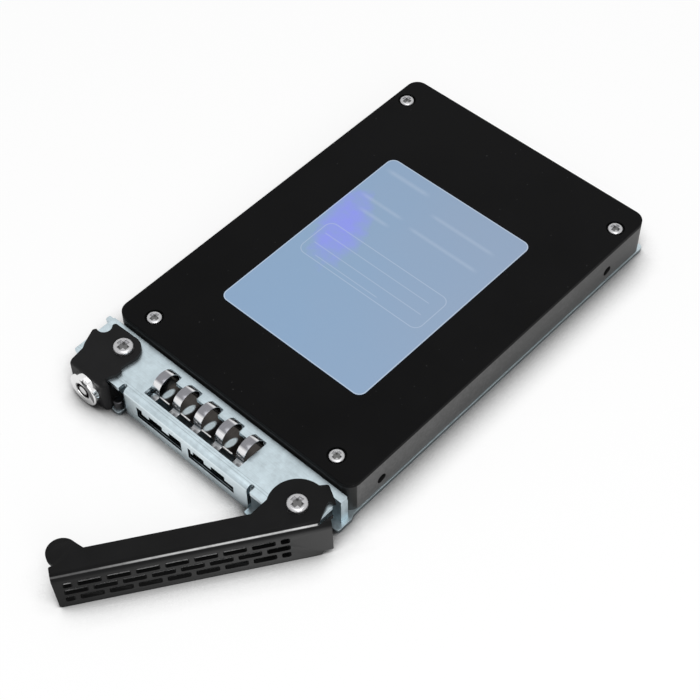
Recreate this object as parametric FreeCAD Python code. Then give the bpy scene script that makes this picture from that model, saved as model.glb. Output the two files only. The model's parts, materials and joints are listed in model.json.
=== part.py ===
"""Hot swap drive caddy: a 2.5 inch drive on a folded steel tray with a cam handle and a keyed latch.

Millimetres, +Z up.  X runs across the drive, +Y towards the connector end.  The origin is on the
tray's underside, on the centreline, level with the front face of the drive.
"""
import FreeCAD, Part
import math
import os

V = FreeCAD.Vector

# ---------------------------------------------------------------- driving dimensions
# the drive, to the 2.5 inch form factor
DRIVE_W = 69.85
DRIVE_L = 100.2
DRIVE_H = 9.5
DRIVE_CORNER_R = 3.0
CASE_WALL = 1.5
CASE_FLOOR = 1.0
COVER_T = 1.2
COVER_RIM_GAP = 0.6
MOUNT_HOLE_Z = 3.0
MOUNT_HOLE_REAR = 14.0
MOUNT_HOLE_FRONT = 90.6
MOUNT_HOLE_SPAN = 61.72
MOUNT_HOLE_R = 1.25
SIDE_HOLE_DEPTH = 2.7
BASE_HOLE_DEPTH = 3.0
COVER_SCREW_FRONT = (27.2, 4.35)
COVER_SCREW_REAR = (31.4, 92.7)
COVER_SCREW_HEAD_R = 1.75
COVER_SCREW_HEAD_H = 0.9
COVER_SCREW_R = 0.8
COVER_SCREW_L = 4.2
COVER_SEAT_R = 2.15
COVER_SEAT_DEPTH = 0.75
LABEL_W = 41.8
LABEL_L = 57.4
LABEL_FRONT = 18.3
LABEL_T = 0.08
LABEL_CORNER_R = 2.0

# the board inside the drive
BOARD_W = 54.0
BOARD_L = 84.0
BOARD_T = 1.2
BOARD_Z = 2.6
BOARD_REAR_GAP = 2.0
POST_R = 1.9
MEMORY_W = 12.0
MEMORY_L = 18.0
MEMORY_T = 1.1
MEMORY_GAP = 2.0
CONTROLLER_W = 15.0
CONNECTOR_W = 42.0
CONNECTOR_X = -4.8
CONNECTOR_H = 4.5
CONNECTOR_D = 9.0
TONGUE_T = 1.2
SIGNAL_W = 10.4
POWER_W = 20.6
CONTACT_PITCH = 1.27
CONTACT_W = 0.8
CONTACT_T = 0.12

# sheet metal
SHEET_T = 1.0
TRAY_SIDE = 0.25
SCREW_HEAD_R = 2.5
SCREW_SHANK_R = 1.2
SCREW_CLEAR = 0.05
MOUNT_SCREW_BITE = 1.9
BRACKET_H = 8.2
BRACKET_REAR = -0.5
FACE_Y = -12.9
FACE_LEFT = -19.0
FACE_RIGHT = 18.0
BEND_R = 1.3
WING_Y = -13.2
SWEEP_R = 4.0
RELIEF_W = 1.2
RELIEF_Y = -11.3

# the long window in the bracket, notched at the rear, and the shielding springs that stand in it
WINDOW_LEFT = -15.2
WINDOW_RIGHT = 13.3
WINDOW_FRONT = -10.3
WINDOW_TEETH = -3.9
WINDOW_REAR = -2.0
SPRING_COUNT = 5
SPRING_FIRST = -13.85
SPRING_PITCH = 6.35
NOTCH_W = 3.6
SPRING_W = 2.2
SPRING_T = 0.2
SPRING_GAP = 0.15
SPRING_CREST = 2.3
SPRING_SPAN = 5.9
SPRING_RAIL_L = 1.3
SPRING_FOOT_L = 2.9
VENT_SILL = 2.0
VENT_LINTEL = 4.4
VENT_NOTCH = 5.5

# the cam handle, drawn closed: the pivot is its zero, and it opens by OPEN_ANGLE
PIVOT = (29.0, -9.2)
OPEN_ANGLE = 55.8
HANDLE_LOBE_R = 6.4
HANDLE_REACH = 50.8
HANDLE_REAR = 0.1
HANDLE_FRONT = -5.75
HANDLE_BEND_R = 1.6
HANDLE_LEAN = 9.5
HANDLE_HEAD_R = 3.3
FLANGE_BOTTOM = 0.2
FLANGE_RIGHT = 5.8
FLANGE_STEP = 1.2
TOOTH_OUT = 7.65
TOOTH_REAR = 3.5
SLOT_L = 4.85
SLOT_H = 1.45
SLOT_CORNER_R = 0.45
SLOT_PITCH = 5.85
SLOT_ROW_PITCH = 2.05
SLOT_TOP_ROW = 6.3
SLOT_RIGHT = -2.9
SLOT_COUNT = 8
PIVOT_R = 2.0
PIVOT_CLEAR = 0.05
PIVOT_HEAD_R = 2.3
PIVOT_HEAD_H = 1.2
NUT_R = 2.9
NUT_H = 2.2
THREAD_R = 1.5

# the keyed latch
LATCH_PIVOT = (-26.6, -5.5)
LATCH_LOBE_R = 3.85
LATCH_FRONT = -15.6
LATCH_SIDE = -22.2
LATCH_LEFT = -32.9
LATCH_BEND_R = 1.3
LATCH_WALL_BOTTOM = 0.4
LATCH_SIDE_END = -14.1
LOCK_X = -27.9
LOCK_Z = 4.2
LOCK_HEAD_R = 4.05
LOCK_NOSE = 1.6
LOCK_BARREL_R = 2.75
LOCK_BARREL_REAR = -10.2
LOCK_CORE_R = 2.15
LOCK_CLEAR = 0.05
KEYWAY_W = 0.55
KEYWAY_DEPTH = 1.0
CAM_T = 0.7
CAM_REACH = 2.8
CLIP_T = 0.5
PIN_X = -20.85
PIN_Y = -13.3
PIN_R = 1.15
PIN_TOP = 3.6

# ---------------------------------------------------------------- what follows from them
DRIVE_Z = SHEET_T
DRIVE_TOP = DRIVE_Z + DRIVE_H
COVER_Z = DRIVE_TOP - COVER_T
CASE_INNER = CASE_FLOOR + DRIVE_Z
HALF_W = DRIVE_W / 2
TRAY_HALF_W = HALF_W + TRAY_SIDE
MOUNT_Y = (DRIVE_L - MOUNT_HOLE_FRONT, DRIVE_L - MOUNT_HOLE_REAR)
PLATE_Z = BRACKET_H - SHEET_T
HANDLE_Z = BRACKET_H
HANDLE_TOP = BRACKET_H + SHEET_T
BEND_LINE = HANDLE_FRONT + HANDLE_BEND_R
BOARD_TOP = DRIVE_Z + BOARD_Z + BOARD_T
LOCK_FACE = LATCH_FRONT - LOCK_NOSE


# ---------------------------------------------------------------- helpers
def rounded_outline(corners):
    """A closed wire through (x, y, r) corners: straight runs joined by tangent arcs of radius r."""
    runs = []
    count = len(corners)
    for i, (x, y, r) in enumerate(corners):
        here = V(x, y, 0)
        back = V(corners[i - 1][0], corners[i - 1][1], 0) - here
        ahead = V(corners[(i + 1) % count][0], corners[(i + 1) % count][1], 0) - here
        back.normalize()
        ahead.normalize()
        half = back.getAngle(ahead) / 2
        if r <= 0 or abs(half - math.pi / 2) < 0.01:
            runs.append((here, None, here))
            continue
        reach = r / math.tan(half)
        middle = back + ahead
        middle.normalize()
        crown = here + middle * (r / math.sin(half) - r)
        runs.append((here + back * reach, crown, here + ahead * reach))
    edges = []
    for i, (start, crown, end) in enumerate(runs):
        if crown is not None:
            edges.append(Part.Arc(start, crown, end).toShape())
        nxt = runs[(i + 1) % count][0]
        if end.distanceToPoint(nxt) > 1e-6:
            edges.append(Part.makeLine(end, nxt))
    return Part.Wire(edges)


def plate(corners, z, t):
    """A flat plate of thickness t standing on z, with the given rounded outline."""
    face = Part.Face(rounded_outline(corners))
    face.translate(V(0, 0, z))
    return face.extrude(V(0, 0, t))


def box(x0, x1, y0, y1, z0, z1):
    """A box between two corners."""
    return Part.makeBox(x1 - x0, y1 - y0, z1 - z0, V(x0, y0, z0))


def rounded_box(x0, x1, y0, y1, z0, z1, r):
    """A box whose four upright edges are rounded."""
    return plate([(x0, y0, r), (x1, y0, r), (x1, y1, r), (x0, y1, r)], z0, z1 - z0)


def rod(x, y, z0, z1, r):
    """An upright cylinder."""
    return Part.makeCylinder(r, z1 - z0, V(x, y, z0), V(0, 0, 1))


def rod_y(x, z, y0, y1, r):
    """A cylinder that runs along Y."""
    return Part.makeCylinder(r, y1 - y0, V(x, y0, z), V(0, 1, 0))


def fuse(shapes):
    """One clean solid from several that touch."""
    return shapes[0].fuse(shapes[1:]).removeSplitter()


def cut(shape, tools):
    """A shape less several tools."""
    return shape.cut(Part.makeCompound(tools)).removeSplitter()


def fold(x0, x1, y_out, z_top, z_bottom, r, t=SHEET_T):
    """A front flange: a quarter bend from a plate at z_top, then a wall down to z_bottom.

    The outer face of the wall is at y_out, and the bend meets the plate at y_out + r."""
    bend = Part.makeCylinder(r, x1 - x0, V(x0, y_out + r, z_top - r), V(1, 0, 0))
    bend = bend.cut(Part.makeCylinder(r - t, x1 - x0, V(x0, y_out + r, z_top - r), V(1, 0, 0)))
    bend = bend.common(box(x0, x1, y_out, y_out + r, z_top - r, z_top))
    wall = box(x0, x1, y_out, y_out + t, z_bottom, z_top - r)
    return [bend, wall]


def cross_recess(x, y, z, r, depth):
    """The cutter of a cross recess in a screw head whose top is at z."""
    arm = r * 0.26
    bars = [box(x - r * 0.62, x + r * 0.62, y - arm, y + arm, z - depth, z)]
    bars.append(box(x - arm, x + arm, y - r * 0.62, y + r * 0.62, z - depth, z))
    return bars


def pan_head(x, y, z, r, h):
    """A screw head standing on z, its upper edge well rounded."""
    head = rod(x, y, z, z + h, r)
    rim = [e for e in head.Edges if e.BoundBox.ZMin > z + h - 0.01]
    return head.makeFillet(h * 0.6, rim)


# ---------------------------------------------------------------- the drive
def drive_case():
    """The drive's lower housing: floor, walls, screw bosses, board posts and the connector's gap."""
    top = COVER_Z
    outer = rounded_box(-HALF_W, HALF_W, 0, DRIVE_L, DRIVE_Z, top, DRIVE_CORNER_R)
    inner_r = DRIVE_CORNER_R - CASE_WALL
    inner = rounded_box(-HALF_W + CASE_WALL, HALF_W - CASE_WALL, CASE_WALL, DRIVE_L - CASE_WALL,
                        CASE_INNER, top, inner_r)
    shell = outer.cut(inner)
    bosses = []
    for side in (-1, 1):
        for x, y in (COVER_SCREW_FRONT, COVER_SCREW_REAR):
            column = rod(side * x, y, CASE_INNER, top, COVER_SEAT_R + 0.6)
            bosses.append(column.common(outer))
        for y in MOUNT_Y:
            x0, x1 = sorted((side * (MOUNT_HOLE_SPAN / 2 - 2.6), side * (HALF_W - CASE_WALL)))
            bosses.append(box(x0, x1, y - 3.2, y + 3.2, CASE_INNER, DRIVE_Z + MOUNT_HOLE_Z + 2.6))
        for y in board_post_rows():
            bosses.append(rod(side * (BOARD_W / 2 - 3.5), y, CASE_INNER, DRIVE_Z + BOARD_Z, POST_R))
    shell = fuse([shell] + bosses)
    holes = []
    for side in (-1, 1):
        for x, y in (COVER_SCREW_FRONT, COVER_SCREW_REAR):
            holes.append(rod(side * x, y, top - COVER_SCREW_L, top, COVER_SCREW_R + SCREW_CLEAR))
        for y in MOUNT_Y:
            start = side * (HALF_W - SIDE_HOLE_DEPTH)
            holes.append(Part.makeCylinder(MOUNT_HOLE_R, SIDE_HOLE_DEPTH,
                                           V(start, y, DRIVE_Z + MOUNT_HOLE_Z), V(side, 0, 0)))
            holes.append(rod(side * MOUNT_HOLE_SPAN / 2, y, DRIVE_Z, DRIVE_Z + BASE_HOLE_DEPTH,
                             MOUNT_HOLE_R))
    x0, x1 = connector_ends()
    holes.append(box(x0, x1, DRIVE_L - CASE_WALL, DRIVE_L, BOARD_TOP - BOARD_T,
                     BOARD_TOP + CONNECTOR_H))
    return cut(shell, holes)


def drive_cover():
    """The lid: a plate with rounded corners, a shallow rim line and four seats for its screws."""
    lid = rounded_box(-HALF_W, HALF_W, 0, DRIVE_L, COVER_Z, DRIVE_TOP, DRIVE_CORNER_R)
    rim = [e for e in lid.Edges if e.BoundBox.ZMin > DRIVE_TOP - 0.01]
    lid = lid.makeFillet(0.35, rim)
    tools = []
    for side in (-1, 1):
        for x, y in (COVER_SCREW_FRONT, COVER_SCREW_REAR):
            tools.append(rod(side * x, y, DRIVE_TOP - COVER_SEAT_DEPTH, DRIVE_TOP, COVER_SEAT_R))
            tools.append(rod(side * x, y, COVER_Z, DRIVE_TOP, COVER_SCREW_R + SCREW_CLEAR))
    return cut(lid, tools)


def cover_screws():
    """Four small screws that hold the lid down, their heads in the lid's seats."""
    screws = []
    seat = DRIVE_TOP - COVER_SEAT_DEPTH
    for side in (-1, 1):
        for x, y in (COVER_SCREW_FRONT, COVER_SCREW_REAR):
            head = pan_head(side * x, y, seat, COVER_SCREW_HEAD_R, COVER_SCREW_HEAD_H)
            shank = rod(side * x, y, COVER_Z - COVER_SCREW_L + 0.4, seat, COVER_SCREW_R)
            recess = cross_recess(side * x, y, seat + COVER_SCREW_HEAD_H, COVER_SCREW_HEAD_R, 0.5)
            screws.append(cut(fuse([head, shank]), recess))
    return screws


def drive_label():
    """The label, a thin sheet stuck to the lid."""
    return rounded_box(-LABEL_W / 2, LABEL_W / 2, LABEL_FRONT, LABEL_FRONT + LABEL_L,
                       DRIVE_TOP, DRIVE_TOP + LABEL_T, LABEL_CORNER_R)


def board_post_rows():
    """Where along the drive the board's posts stand."""
    rear = DRIVE_L - BOARD_REAR_GAP
    return (rear - BOARD_L + 4.0, rear - 16.0)


def connector_ends():
    """The two ends of the connector across the drive."""
    return CONNECTOR_X - CONNECTOR_W / 2, CONNECTOR_X + CONNECTOR_W / 2


def drive_board():
    """The circuit board on its posts, notched where the housing's bosses stand."""
    rear = DRIVE_L - BOARD_REAR_GAP
    z = DRIVE_Z + BOARD_Z
    board = rounded_box(-BOARD_W / 2, BOARD_W / 2, rear - BOARD_L, rear, z, z + BOARD_T, 1.0)
    holes = []
    for side in (-1, 1):
        for y in board_post_rows():
            holes.append(rod(side * (BOARD_W / 2 - 3.5), y, z, z + BOARD_T, COVER_SCREW_R + SCREW_CLEAR))
    return cut(board, holes)


def board_screws():
    """Screws that clamp the board to its posts."""
    screws = []
    for side in (-1, 1):
        for y in board_post_rows():
            x = side * (BOARD_W / 2 - 3.5)
            head = pan_head(x, y, BOARD_TOP, 1.5, 0.8)
            shank = rod(x, y, DRIVE_Z + BOARD_Z, BOARD_TOP, COVER_SCREW_R)
            screws.append(fuse([head, shank]))
    return screws


def memory_chips():
    """Memory packages on the board, three across and two deep."""
    chips = []
    first = DRIVE_L - BOARD_REAR_GAP - BOARD_L + 3.0
    for row in range(2):
        for column in (-1, 0, 1):
            x = column * (MEMORY_W + MEMORY_GAP)
            y = first + row * (MEMORY_L + MEMORY_GAP)
            chips.append(box(x - MEMORY_W / 2, x + MEMORY_W / 2, y, y + MEMORY_L, BOARD_TOP,
                             BOARD_TOP + MEMORY_T))
    return chips


def controller_chip():
    """The controller package, between the memory and the connector."""
    y = DRIVE_L - BOARD_REAR_GAP - CONNECTOR_D - CONTROLLER_W - 6.0
    return rounded_box(-CONTROLLER_W / 2, CONTROLLER_W / 2, y, y + CONTROLLER_W, BOARD_TOP,
                       BOARD_TOP + MEMORY_T, 0.4)


def connector_housing():
    """The plug end: an open-ended housing with two blades that carry the contacts."""
    x0, x1 = connector_ends()
    y0 = DRIVE_L - CONNECTOR_D
    z0 = BOARD_TOP
    body = box(x0 + 0.1, x1 - 0.1, y0, DRIVE_L, z0, z0 + CONNECTOR_H - 0.4)
    mouth = box(x0 + 1.2, x1 - 1.2, y0 + 2.0, DRIVE_L, z0 + 0.8, z0 + CONNECTOR_H - 1.2)
    shell = body.cut(mouth)
    blade_z = z0 + 1.7
    blades = []
    for start, width in blade_runs():
        blades.append(box(start, start + width, y0 + 2.0, DRIVE_L - 0.6, blade_z, blade_z + TONGUE_T))
    return fuse([shell] + blades)


def blade_runs():
    """Start and width of the power and the signal blade, across the drive."""
    x0 = connector_ends()[0]
    return ((x0 + 3.0, POWER_W), (x0 + 3.0 + POWER_W + 2.6, SIGNAL_W))


def connector_contacts():
    """The flat contacts along the underside of each blade."""
    contacts = []
    top = BOARD_TOP + 1.7
    for start, width in blade_runs():
        count = int((width - CONTACT_W) / CONTACT_PITCH)
        lead = (width - (count - 1) * CONTACT_PITCH) / 2
        for i in range(count):
            x = start + lead + i * CONTACT_PITCH
            contacts.append(box(x - CONTACT_W / 2, x + CONTACT_W / 2, DRIVE_L - CONNECTOR_D + 2.2,
                                DRIVE_L - 1.0, top - CONTACT_T, top))
    return Part.makeCompound(contacts)


# ---------------------------------------------------------------- the tray
def tray_plate():
    """The sheet under the drive: screw seats, front lip, tongues beside the front face."""
    rear = DRIVE_L
    front = FACE_Y + SHEET_T
    ear = TRAY_HALF_W + 0.55
    outline = [(-TRAY_HALF_W, rear, 1.0), (-TRAY_HALF_W, -8.0, 1.0), (-31.0, -10.5, 1.0),
               (-22.0, -10.5, 0.0), (-22.0, -14.7, 0.5), (-19.6, -14.7, 0.8), (-19.6, front, 0.2),
               (FACE_RIGHT + 0.1, front, 0.0), (FACE_RIGHT + 0.1, -14.3, 0.4), (19.8, -14.3, 0.6),
               (20.6, front, 0.3), (30.0, front, 2.0), (33.2, -4.7, 0.4), (ear, -4.7, 0.8),
               (ear, -0.5, 0.5), (TRAY_HALF_W, 0.6, 0.3), (TRAY_HALF_W, rear, 1.0)]
    sheet = plate(outline, 0, SHEET_T)
    lip = box(WINDOW_LEFT - 1.0, FACE_RIGHT - 3.0, front + 0.4, front + 1.1, SHEET_T, 3.1)
    sheet = fuse([sheet, lip])
    tools = []
    for side in (-1, 1):
        for y in MOUNT_Y:
            x = side * MOUNT_HOLE_SPAN / 2
            seat_r = SCREW_HEAD_R + SCREW_CLEAR
            tools.append(Part.makeCone(seat_r, SCREW_SHANK_R + SCREW_CLEAR * 2, SHEET_T, V(x, y, 0)))
    for x, y in rivet_places():
        tools.append(rod(x, y, 0, SHEET_T, 1.0))
    tools.append(rod(PIN_X, PIN_Y, 0, SHEET_T, 0.8))
    return cut(sheet, tools)


def rivet_places():
    """The bracket's rivets through the tray: one in each foot."""
    return ((-20.5, -4.2), (18.5, -4.2), (-32.1, -3.6))


def mounting_screws():
    """Four countersunk screws from beneath that hold the drive on the tray."""
    screws = []
    for side in (-1, 1):
        for y in MOUNT_Y:
            x = side * MOUNT_HOLE_SPAN / 2
            head = Part.makeCone(SCREW_HEAD_R, SCREW_SHANK_R, SHEET_T, V(x, y, 0))
            shank = rod(x, y, SHEET_T, SHEET_T + MOUNT_SCREW_BITE, SCREW_SHANK_R)
            arm = 0.35
            slots = [box(x - 1.3, x + 1.3, y - arm, y + arm, 0, 0.5)]
            slots.append(box(x - arm, x + arm, y - 1.3, y + 1.3, 0, 0.5))
            screws.append(cut(fuse([head, shank]), slots))
    return screws


# ---------------------------------------------------------------- the front bracket
def vent_cutters():
    """The two long slots in the front face, their upper edges stepped by tabs."""
    depth = (FACE_Y - 0.5, FACE_Y + SHEET_T + 0.5)
    runs = ((-15.3, -1.6, ((-15.3, -13.6), (-11.4, -7.4), (-5.3, -1.6))),
            (0.45, 13.95, ((0.45, 1.35), (2.0, 5.3), (7.4, 11.4))))
    tools = []
    for left, right, notches in runs:
        tools.append(box(left, right, depth[0], depth[1], VENT_SILL, VENT_LINTEL))
        for x0, x1 in notches:
            tools.append(box(x0, x1, depth[0], depth[1], VENT_SILL, VENT_NOTCH))
    return tools


def spring_centres():
    """Where the spring fingers stand across the bracket."""
    return [SPRING_FIRST + i * SPRING_PITCH for i in range(SPRING_COUNT)]


def window_cutters():
    """The long window in the top plate, with a notch at the rear for each spring finger."""
    z0 = PLATE_Z - 0.5
    z1 = BRACKET_H + 0.5
    tools = [rounded_box(WINDOW_LEFT, WINDOW_RIGHT, WINDOW_FRONT, WINDOW_TEETH, z0, z1, 0.3)]
    for x in spring_centres():
        tools.append(rounded_box(x - NOTCH_W / 2, x + NOTCH_W / 2, WINDOW_TEETH - 0.8, WINDOW_REAR,
                                 z0, z1, 0.3))
    return tools


def front_bracket():
    """The folded box in front of the drive: top plate, front face, feet and a corner flange."""
    half = TRAY_HALF_W
    right = PIVOT[0] + 5.0
    step = FACE_Y + BEND_R
    top = [(-half, BRACKET_REAR, 0.3), (-half, -0.8, 0.0), (-half - 1.2, -0.8, 0.3),
           (-half - 1.2, -2.1, 0.3), (-half, -2.1, 0.0), (-half, -12.3, 0.3), (-29.5, WING_Y, 0.5),
           (FACE_LEFT - RELIEF_W, WING_Y, 0.2), (FACE_LEFT - RELIEF_W, RELIEF_Y, 0.5),
           (FACE_LEFT, RELIEF_Y, 0.5), (FACE_LEFT, step, 0.0), (FACE_RIGHT, step, 0.0),
           (FACE_RIGHT, RELIEF_Y, 0.5), (FACE_RIGHT + RELIEF_W, RELIEF_Y, 0.5),
           (FACE_RIGHT + RELIEF_W, WING_Y, 0.2), (PIVOT[0] + 2.31, WING_Y, SWEEP_R),
           (right, PIVOT[1] + 0.66, 0.8), (right, -4.0, 0.4),
           (32.0, -4.0, 0.6), (32.0, -2.5, 0.3), (HALF_W - 0.2, -2.5, 0.2),
           (HALF_W - 0.2, BRACKET_REAR, 0.3)]
    parts = [plate(top, PLATE_Z, SHEET_T)]
    parts += fold(FACE_LEFT, FACE_RIGHT, FACE_Y, BRACKET_H, 0, BEND_R)
    x1 = HALF_W - 0.2
    parts.append(box(x1 - SHEET_T, x1, -2.5, BRACKET_REAR, SHEET_T, PLATE_Z))
    parts.append(box(32.0, x1, -2.5, -1.5, SHEET_T, PLATE_Z))
    parts.append(box(-half, -half + SHEET_T, -6.4, BRACKET_REAR, SHEET_T, PLATE_Z))
    parts.append(box(-half, -30.4, -5.6, -1.6, SHEET_T, 2 * SHEET_T))
    for x, y in rivet_places()[:2]:
        parts.append(box(x - 2.6, x + 2.6, BRACKET_REAR - SHEET_T, BRACKET_REAR, SHEET_T, PLATE_Z))
        parts.append(box(x - 2.6, x + 2.6, y - 2.2, BRACKET_REAR, SHEET_T, 2 * SHEET_T))
    tools = window_cutters() + vent_cutters()
    tools.append(rod(PIVOT[0], PIVOT[1], PLATE_Z, BRACKET_H, THREAD_R + SCREW_CLEAR))
    tools.append(rod(LATCH_PIVOT[0], LATCH_PIVOT[1], PLATE_Z, BRACKET_H, THREAD_R + SCREW_CLEAR))
    for x, y in rivet_places():
        tools.append(rod(x, y, SHEET_T, 2 * SHEET_T, 1.0))
    return cut(fuse(parts), tools)


def bracket_rivets():
    """Rivets that join the bracket's feet to the tray, flush beneath and domed above."""
    rivets = []
    for x, y in rivet_places():
        body = rod(x, y, 0, 2 * SHEET_T, 1.0)
        rivets.append(fuse([body, pan_head(x, y, 2 * SHEET_T, 1.6, 0.7)]))
    return rivets


def spring_path():
    """The centre line of one finger: up from the rail, over a round arch, down and out to its foot."""
    base = (PLATE_Z + BRACKET_H) / 2
    rear = WINDOW_REAR - SPRING_GAP - SPRING_T / 2
    rise = BRACKET_H + SPRING_CREST - SPRING_T / 2 - base
    path = [(rear, PLATE_Z - SPRING_T / 2)]
    for i in range(9):
        turn = math.pi * i / 8
        path.append((rear - SPRING_SPAN / 2 * (1 - math.cos(turn)), base + rise * math.sin(turn)))
    heel = rear - SPRING_SPAN
    path.append((heel - 0.3, PLATE_Z - 0.6))
    path.append((heel - 1.1, PLATE_Z - 0.75))
    path.append((heel - SPRING_FOOT_L, PLATE_Z - 0.25))
    return [V(0, y, z) for y, z in path]


def shield_springs():
    """One strip of arched spring fingers on a rail under the plate, a ribbon of even thickness."""
    spine = Part.BSplineCurve()
    spine.interpolate(spring_path())
    half = SPRING_T / 2
    samples = 32
    first = spine.FirstParameter
    span = spine.LastParameter - first
    above = []
    below = []
    for i in range(samples + 1):
        at = first + span * i / samples
        point = spine.value(at)
        along = spine.tangent(at)[0]
        normal = V(0, -along.z, along.y)
        above.append(point + normal * half)
        below.append(point - normal * half)
    over = Part.BSplineCurve()
    over.interpolate(above)
    under = Part.BSplineCurve()
    under.interpolate(below)
    edges = [over.toShape(), Part.makeLine(above[-1], below[-1]), under.toShape(),
             Part.makeLine(below[0], above[0])]
    ribbon = Part.Face(Part.Wire(Part.__sortEdges__(edges)))
    fingers = []
    for x in spring_centres():
        finger = ribbon.extrude(V(SPRING_W, 0, 0))
        finger.translate(V(x - SPRING_W / 2, 0, 0))
        fingers.append(finger)
    margin = SPRING_W / 2 + 0.4
    rail_front = WINDOW_REAR - SPRING_GAP - SPRING_T
    rail = box(spring_centres()[0] - margin, spring_centres()[-1] + margin, rail_front,
               rail_front + SPRING_RAIL_L, PLATE_Z - SPRING_T, PLATE_Z)
    return fuse([rail] + fingers)


# ---------------------------------------------------------------- the cam handle
def open_handle(shape):
    """Turn a shape drawn for the closed handle to where the open handle stands."""
    turned = shape.copy()
    turned.rotate(V(0, 0, 0), V(0, 0, 1), OPEN_ANGLE)
    turned.translate(V(PIVOT[0], PIVOT[1], 0))
    return turned


def flange_base():
    """The leaning flange's height along its face, and where its outer face would meet z = 0."""
    lean = math.radians(HANDLE_LEAN)
    knee = HANDLE_TOP - HANDLE_BEND_R
    height = (knee + HANDLE_BEND_R * math.sin(lean)) / math.cos(lean)
    foot = BEND_LINE - HANDLE_BEND_R * math.cos(lean) - height * math.sin(lean)
    return height, foot


def on_flange(shape):
    """Stand a shape drawn flat, x along and y up, on the outer face of the leaning flange."""
    placed = shape.copy()
    placed.rotate(V(0, 0, 0), V(1, 0, 0), 90 - HANDLE_LEAN)
    placed.translate(V(0, flange_base()[1], 0))
    return placed


def handle_slots():
    """Three staggered rows of slots with rounded corners through the handle's front flange."""
    tools = []
    left = SLOT_RIGHT - SLOT_COUNT * SLOT_PITCH + (SLOT_PITCH - SLOT_L)
    for row in range(3):
        up = SLOT_TOP_ROW - row * SLOT_ROW_PITCH
        shift = 0 if row == 1 else -SLOT_PITCH / 2
        for i in range(SLOT_COUNT + (row != 1)):
            x0 = max(left, left + shift + i * SLOT_PITCH)
            x1 = min(SLOT_RIGHT, left + shift + i * SLOT_PITCH + SLOT_L)
            slot = rounded_box(x0, x1, up - SLOT_H / 2, up + SLOT_H / 2, -SHEET_T - 0.5, 0.5,
                               SLOT_CORNER_R)
            tools.append(on_flange(slot))
    return tools


def handle_flange():
    """The bend along the arm's front and the leaning wall below it, stepped at its right end."""
    start = -HANDLE_REACH
    knee = HANDLE_TOP - HANDLE_BEND_R
    length = FLANGE_RIGHT - start
    ring = Part.makeCylinder(HANDLE_BEND_R, length, V(start, BEND_LINE, knee), V(1, 0, 0))
    ring = ring.cut(Part.makeCylinder(HANDLE_BEND_R - SHEET_T, length, V(start, BEND_LINE, knee),
                                      V(1, 0, 0)))
    sector = [V(start, BEND_LINE, knee), V(start, BEND_LINE, HANDLE_TOP + 1)]
    lean = math.radians(HANDLE_LEAN)
    reach = 2 * HANDLE_BEND_R
    sector.append(V(start, BEND_LINE - reach, HANDLE_TOP + 1))
    sector.append(V(start, BEND_LINE - reach, knee + reach * math.tan(lean)))
    wedge = Part.Face(Part.makePolygon(sector + [sector[0]])).extrude(V(length, 0, 0))
    height = flange_base()[0]
    low = FLANGE_BOTTOM / math.cos(lean)
    wall = plate([(start + 0.6, low, 0.4), (2.6, low, 0.0), (3.0, low, 0.3), (3.9, FLANGE_STEP, 0.3),
                  (FLANGE_RIGHT, FLANGE_STEP, 0.3), (FLANGE_RIGHT, height, 0.0), (start, height, 0.0)],
                 -SHEET_T, SHEET_T)
    return [ring.common(wedge), on_flange(wall)]


def cam_handle():
    """The lever: pivot lobe, cam tooth and claw, arm with a round head, and a perforated flange."""
    reach = HANDLE_REACH
    head_x = HANDLE_HEAD_R - reach - 0.2
    lobe = rod(0, 0, HANDLE_Z, HANDLE_TOP, HANDLE_LOBE_R)
    arm = plate([(-reach, BEND_LINE, 0.0), (-reach, -2.9, 0.4), (-reach + 1.2, -2.6, 0.25),
                 (-reach + 1.4, -1.6, 0.0), (head_x, -1.0, 0.0), (head_x + HANDLE_HEAD_R, HANDLE_REAR, 0.0),
                 (3.0, HANDLE_REAR, 0.0), (3.0, BEND_LINE, 0.0)], HANDLE_Z, SHEET_T)
    head = rod(head_x, 0, HANDLE_Z, HANDLE_TOP, HANDLE_HEAD_R)
    web = plate([(-9.6, HANDLE_REAR, 0.0), (-5.75, 2.75, 0.0), (-4.0, -2.0, 0.0), (-9.0, -2.0, 0.0)],
                HANDLE_Z, SHEET_T)
    neck = plate([(head_x + 4.3, HANDLE_REAR, 0.0), (head_x + 2.5, 2.1, 0.0), (head_x + 1.5, -1.0, 0.0),
                  (head_x + 4.0, -1.0, 0.0)], HANDLE_Z, SHEET_T)
    tooth = plate([(3.2, 4.8, 0.0), (5.4, TOOTH_REAR + 0.1, 0.8), (TOOTH_OUT - 0.4, TOOTH_REAR - 0.1, 0.6),
                   (TOOTH_OUT, -1.3, 0.5), (FLANGE_RIGHT + 0.6, BEND_LINE, 0.0), (-2.0, BEND_LINE, 0.0),
                   (-2.0, 4.0, 0.0)], HANDLE_Z, SHEET_T)
    slot = plate([(2.9, -5.35, 0.0), (5.3, -1.9, 0.5), (6.2, -0.5, 0.5), (TOOTH_OUT + 1, -1.7, 0.0),
                  (TOOTH_OUT + 1, -3.7, 0.0), (FLANGE_RIGHT + 0.5, -3.9, 0.3), (3.5, -5.2, 0.2)],
                 HANDLE_Z - SHEET_T, 2 * SHEET_T + 0.5)
    tools = handle_slots()
    tools.append(slot)
    tools.append(rod(0, 0, HANDLE_Z, HANDLE_TOP, PIVOT_R + PIVOT_CLEAR))
    return open_handle(cut(fuse([lobe, arm, head, web, neck, tooth] + handle_flange()), tools))


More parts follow.
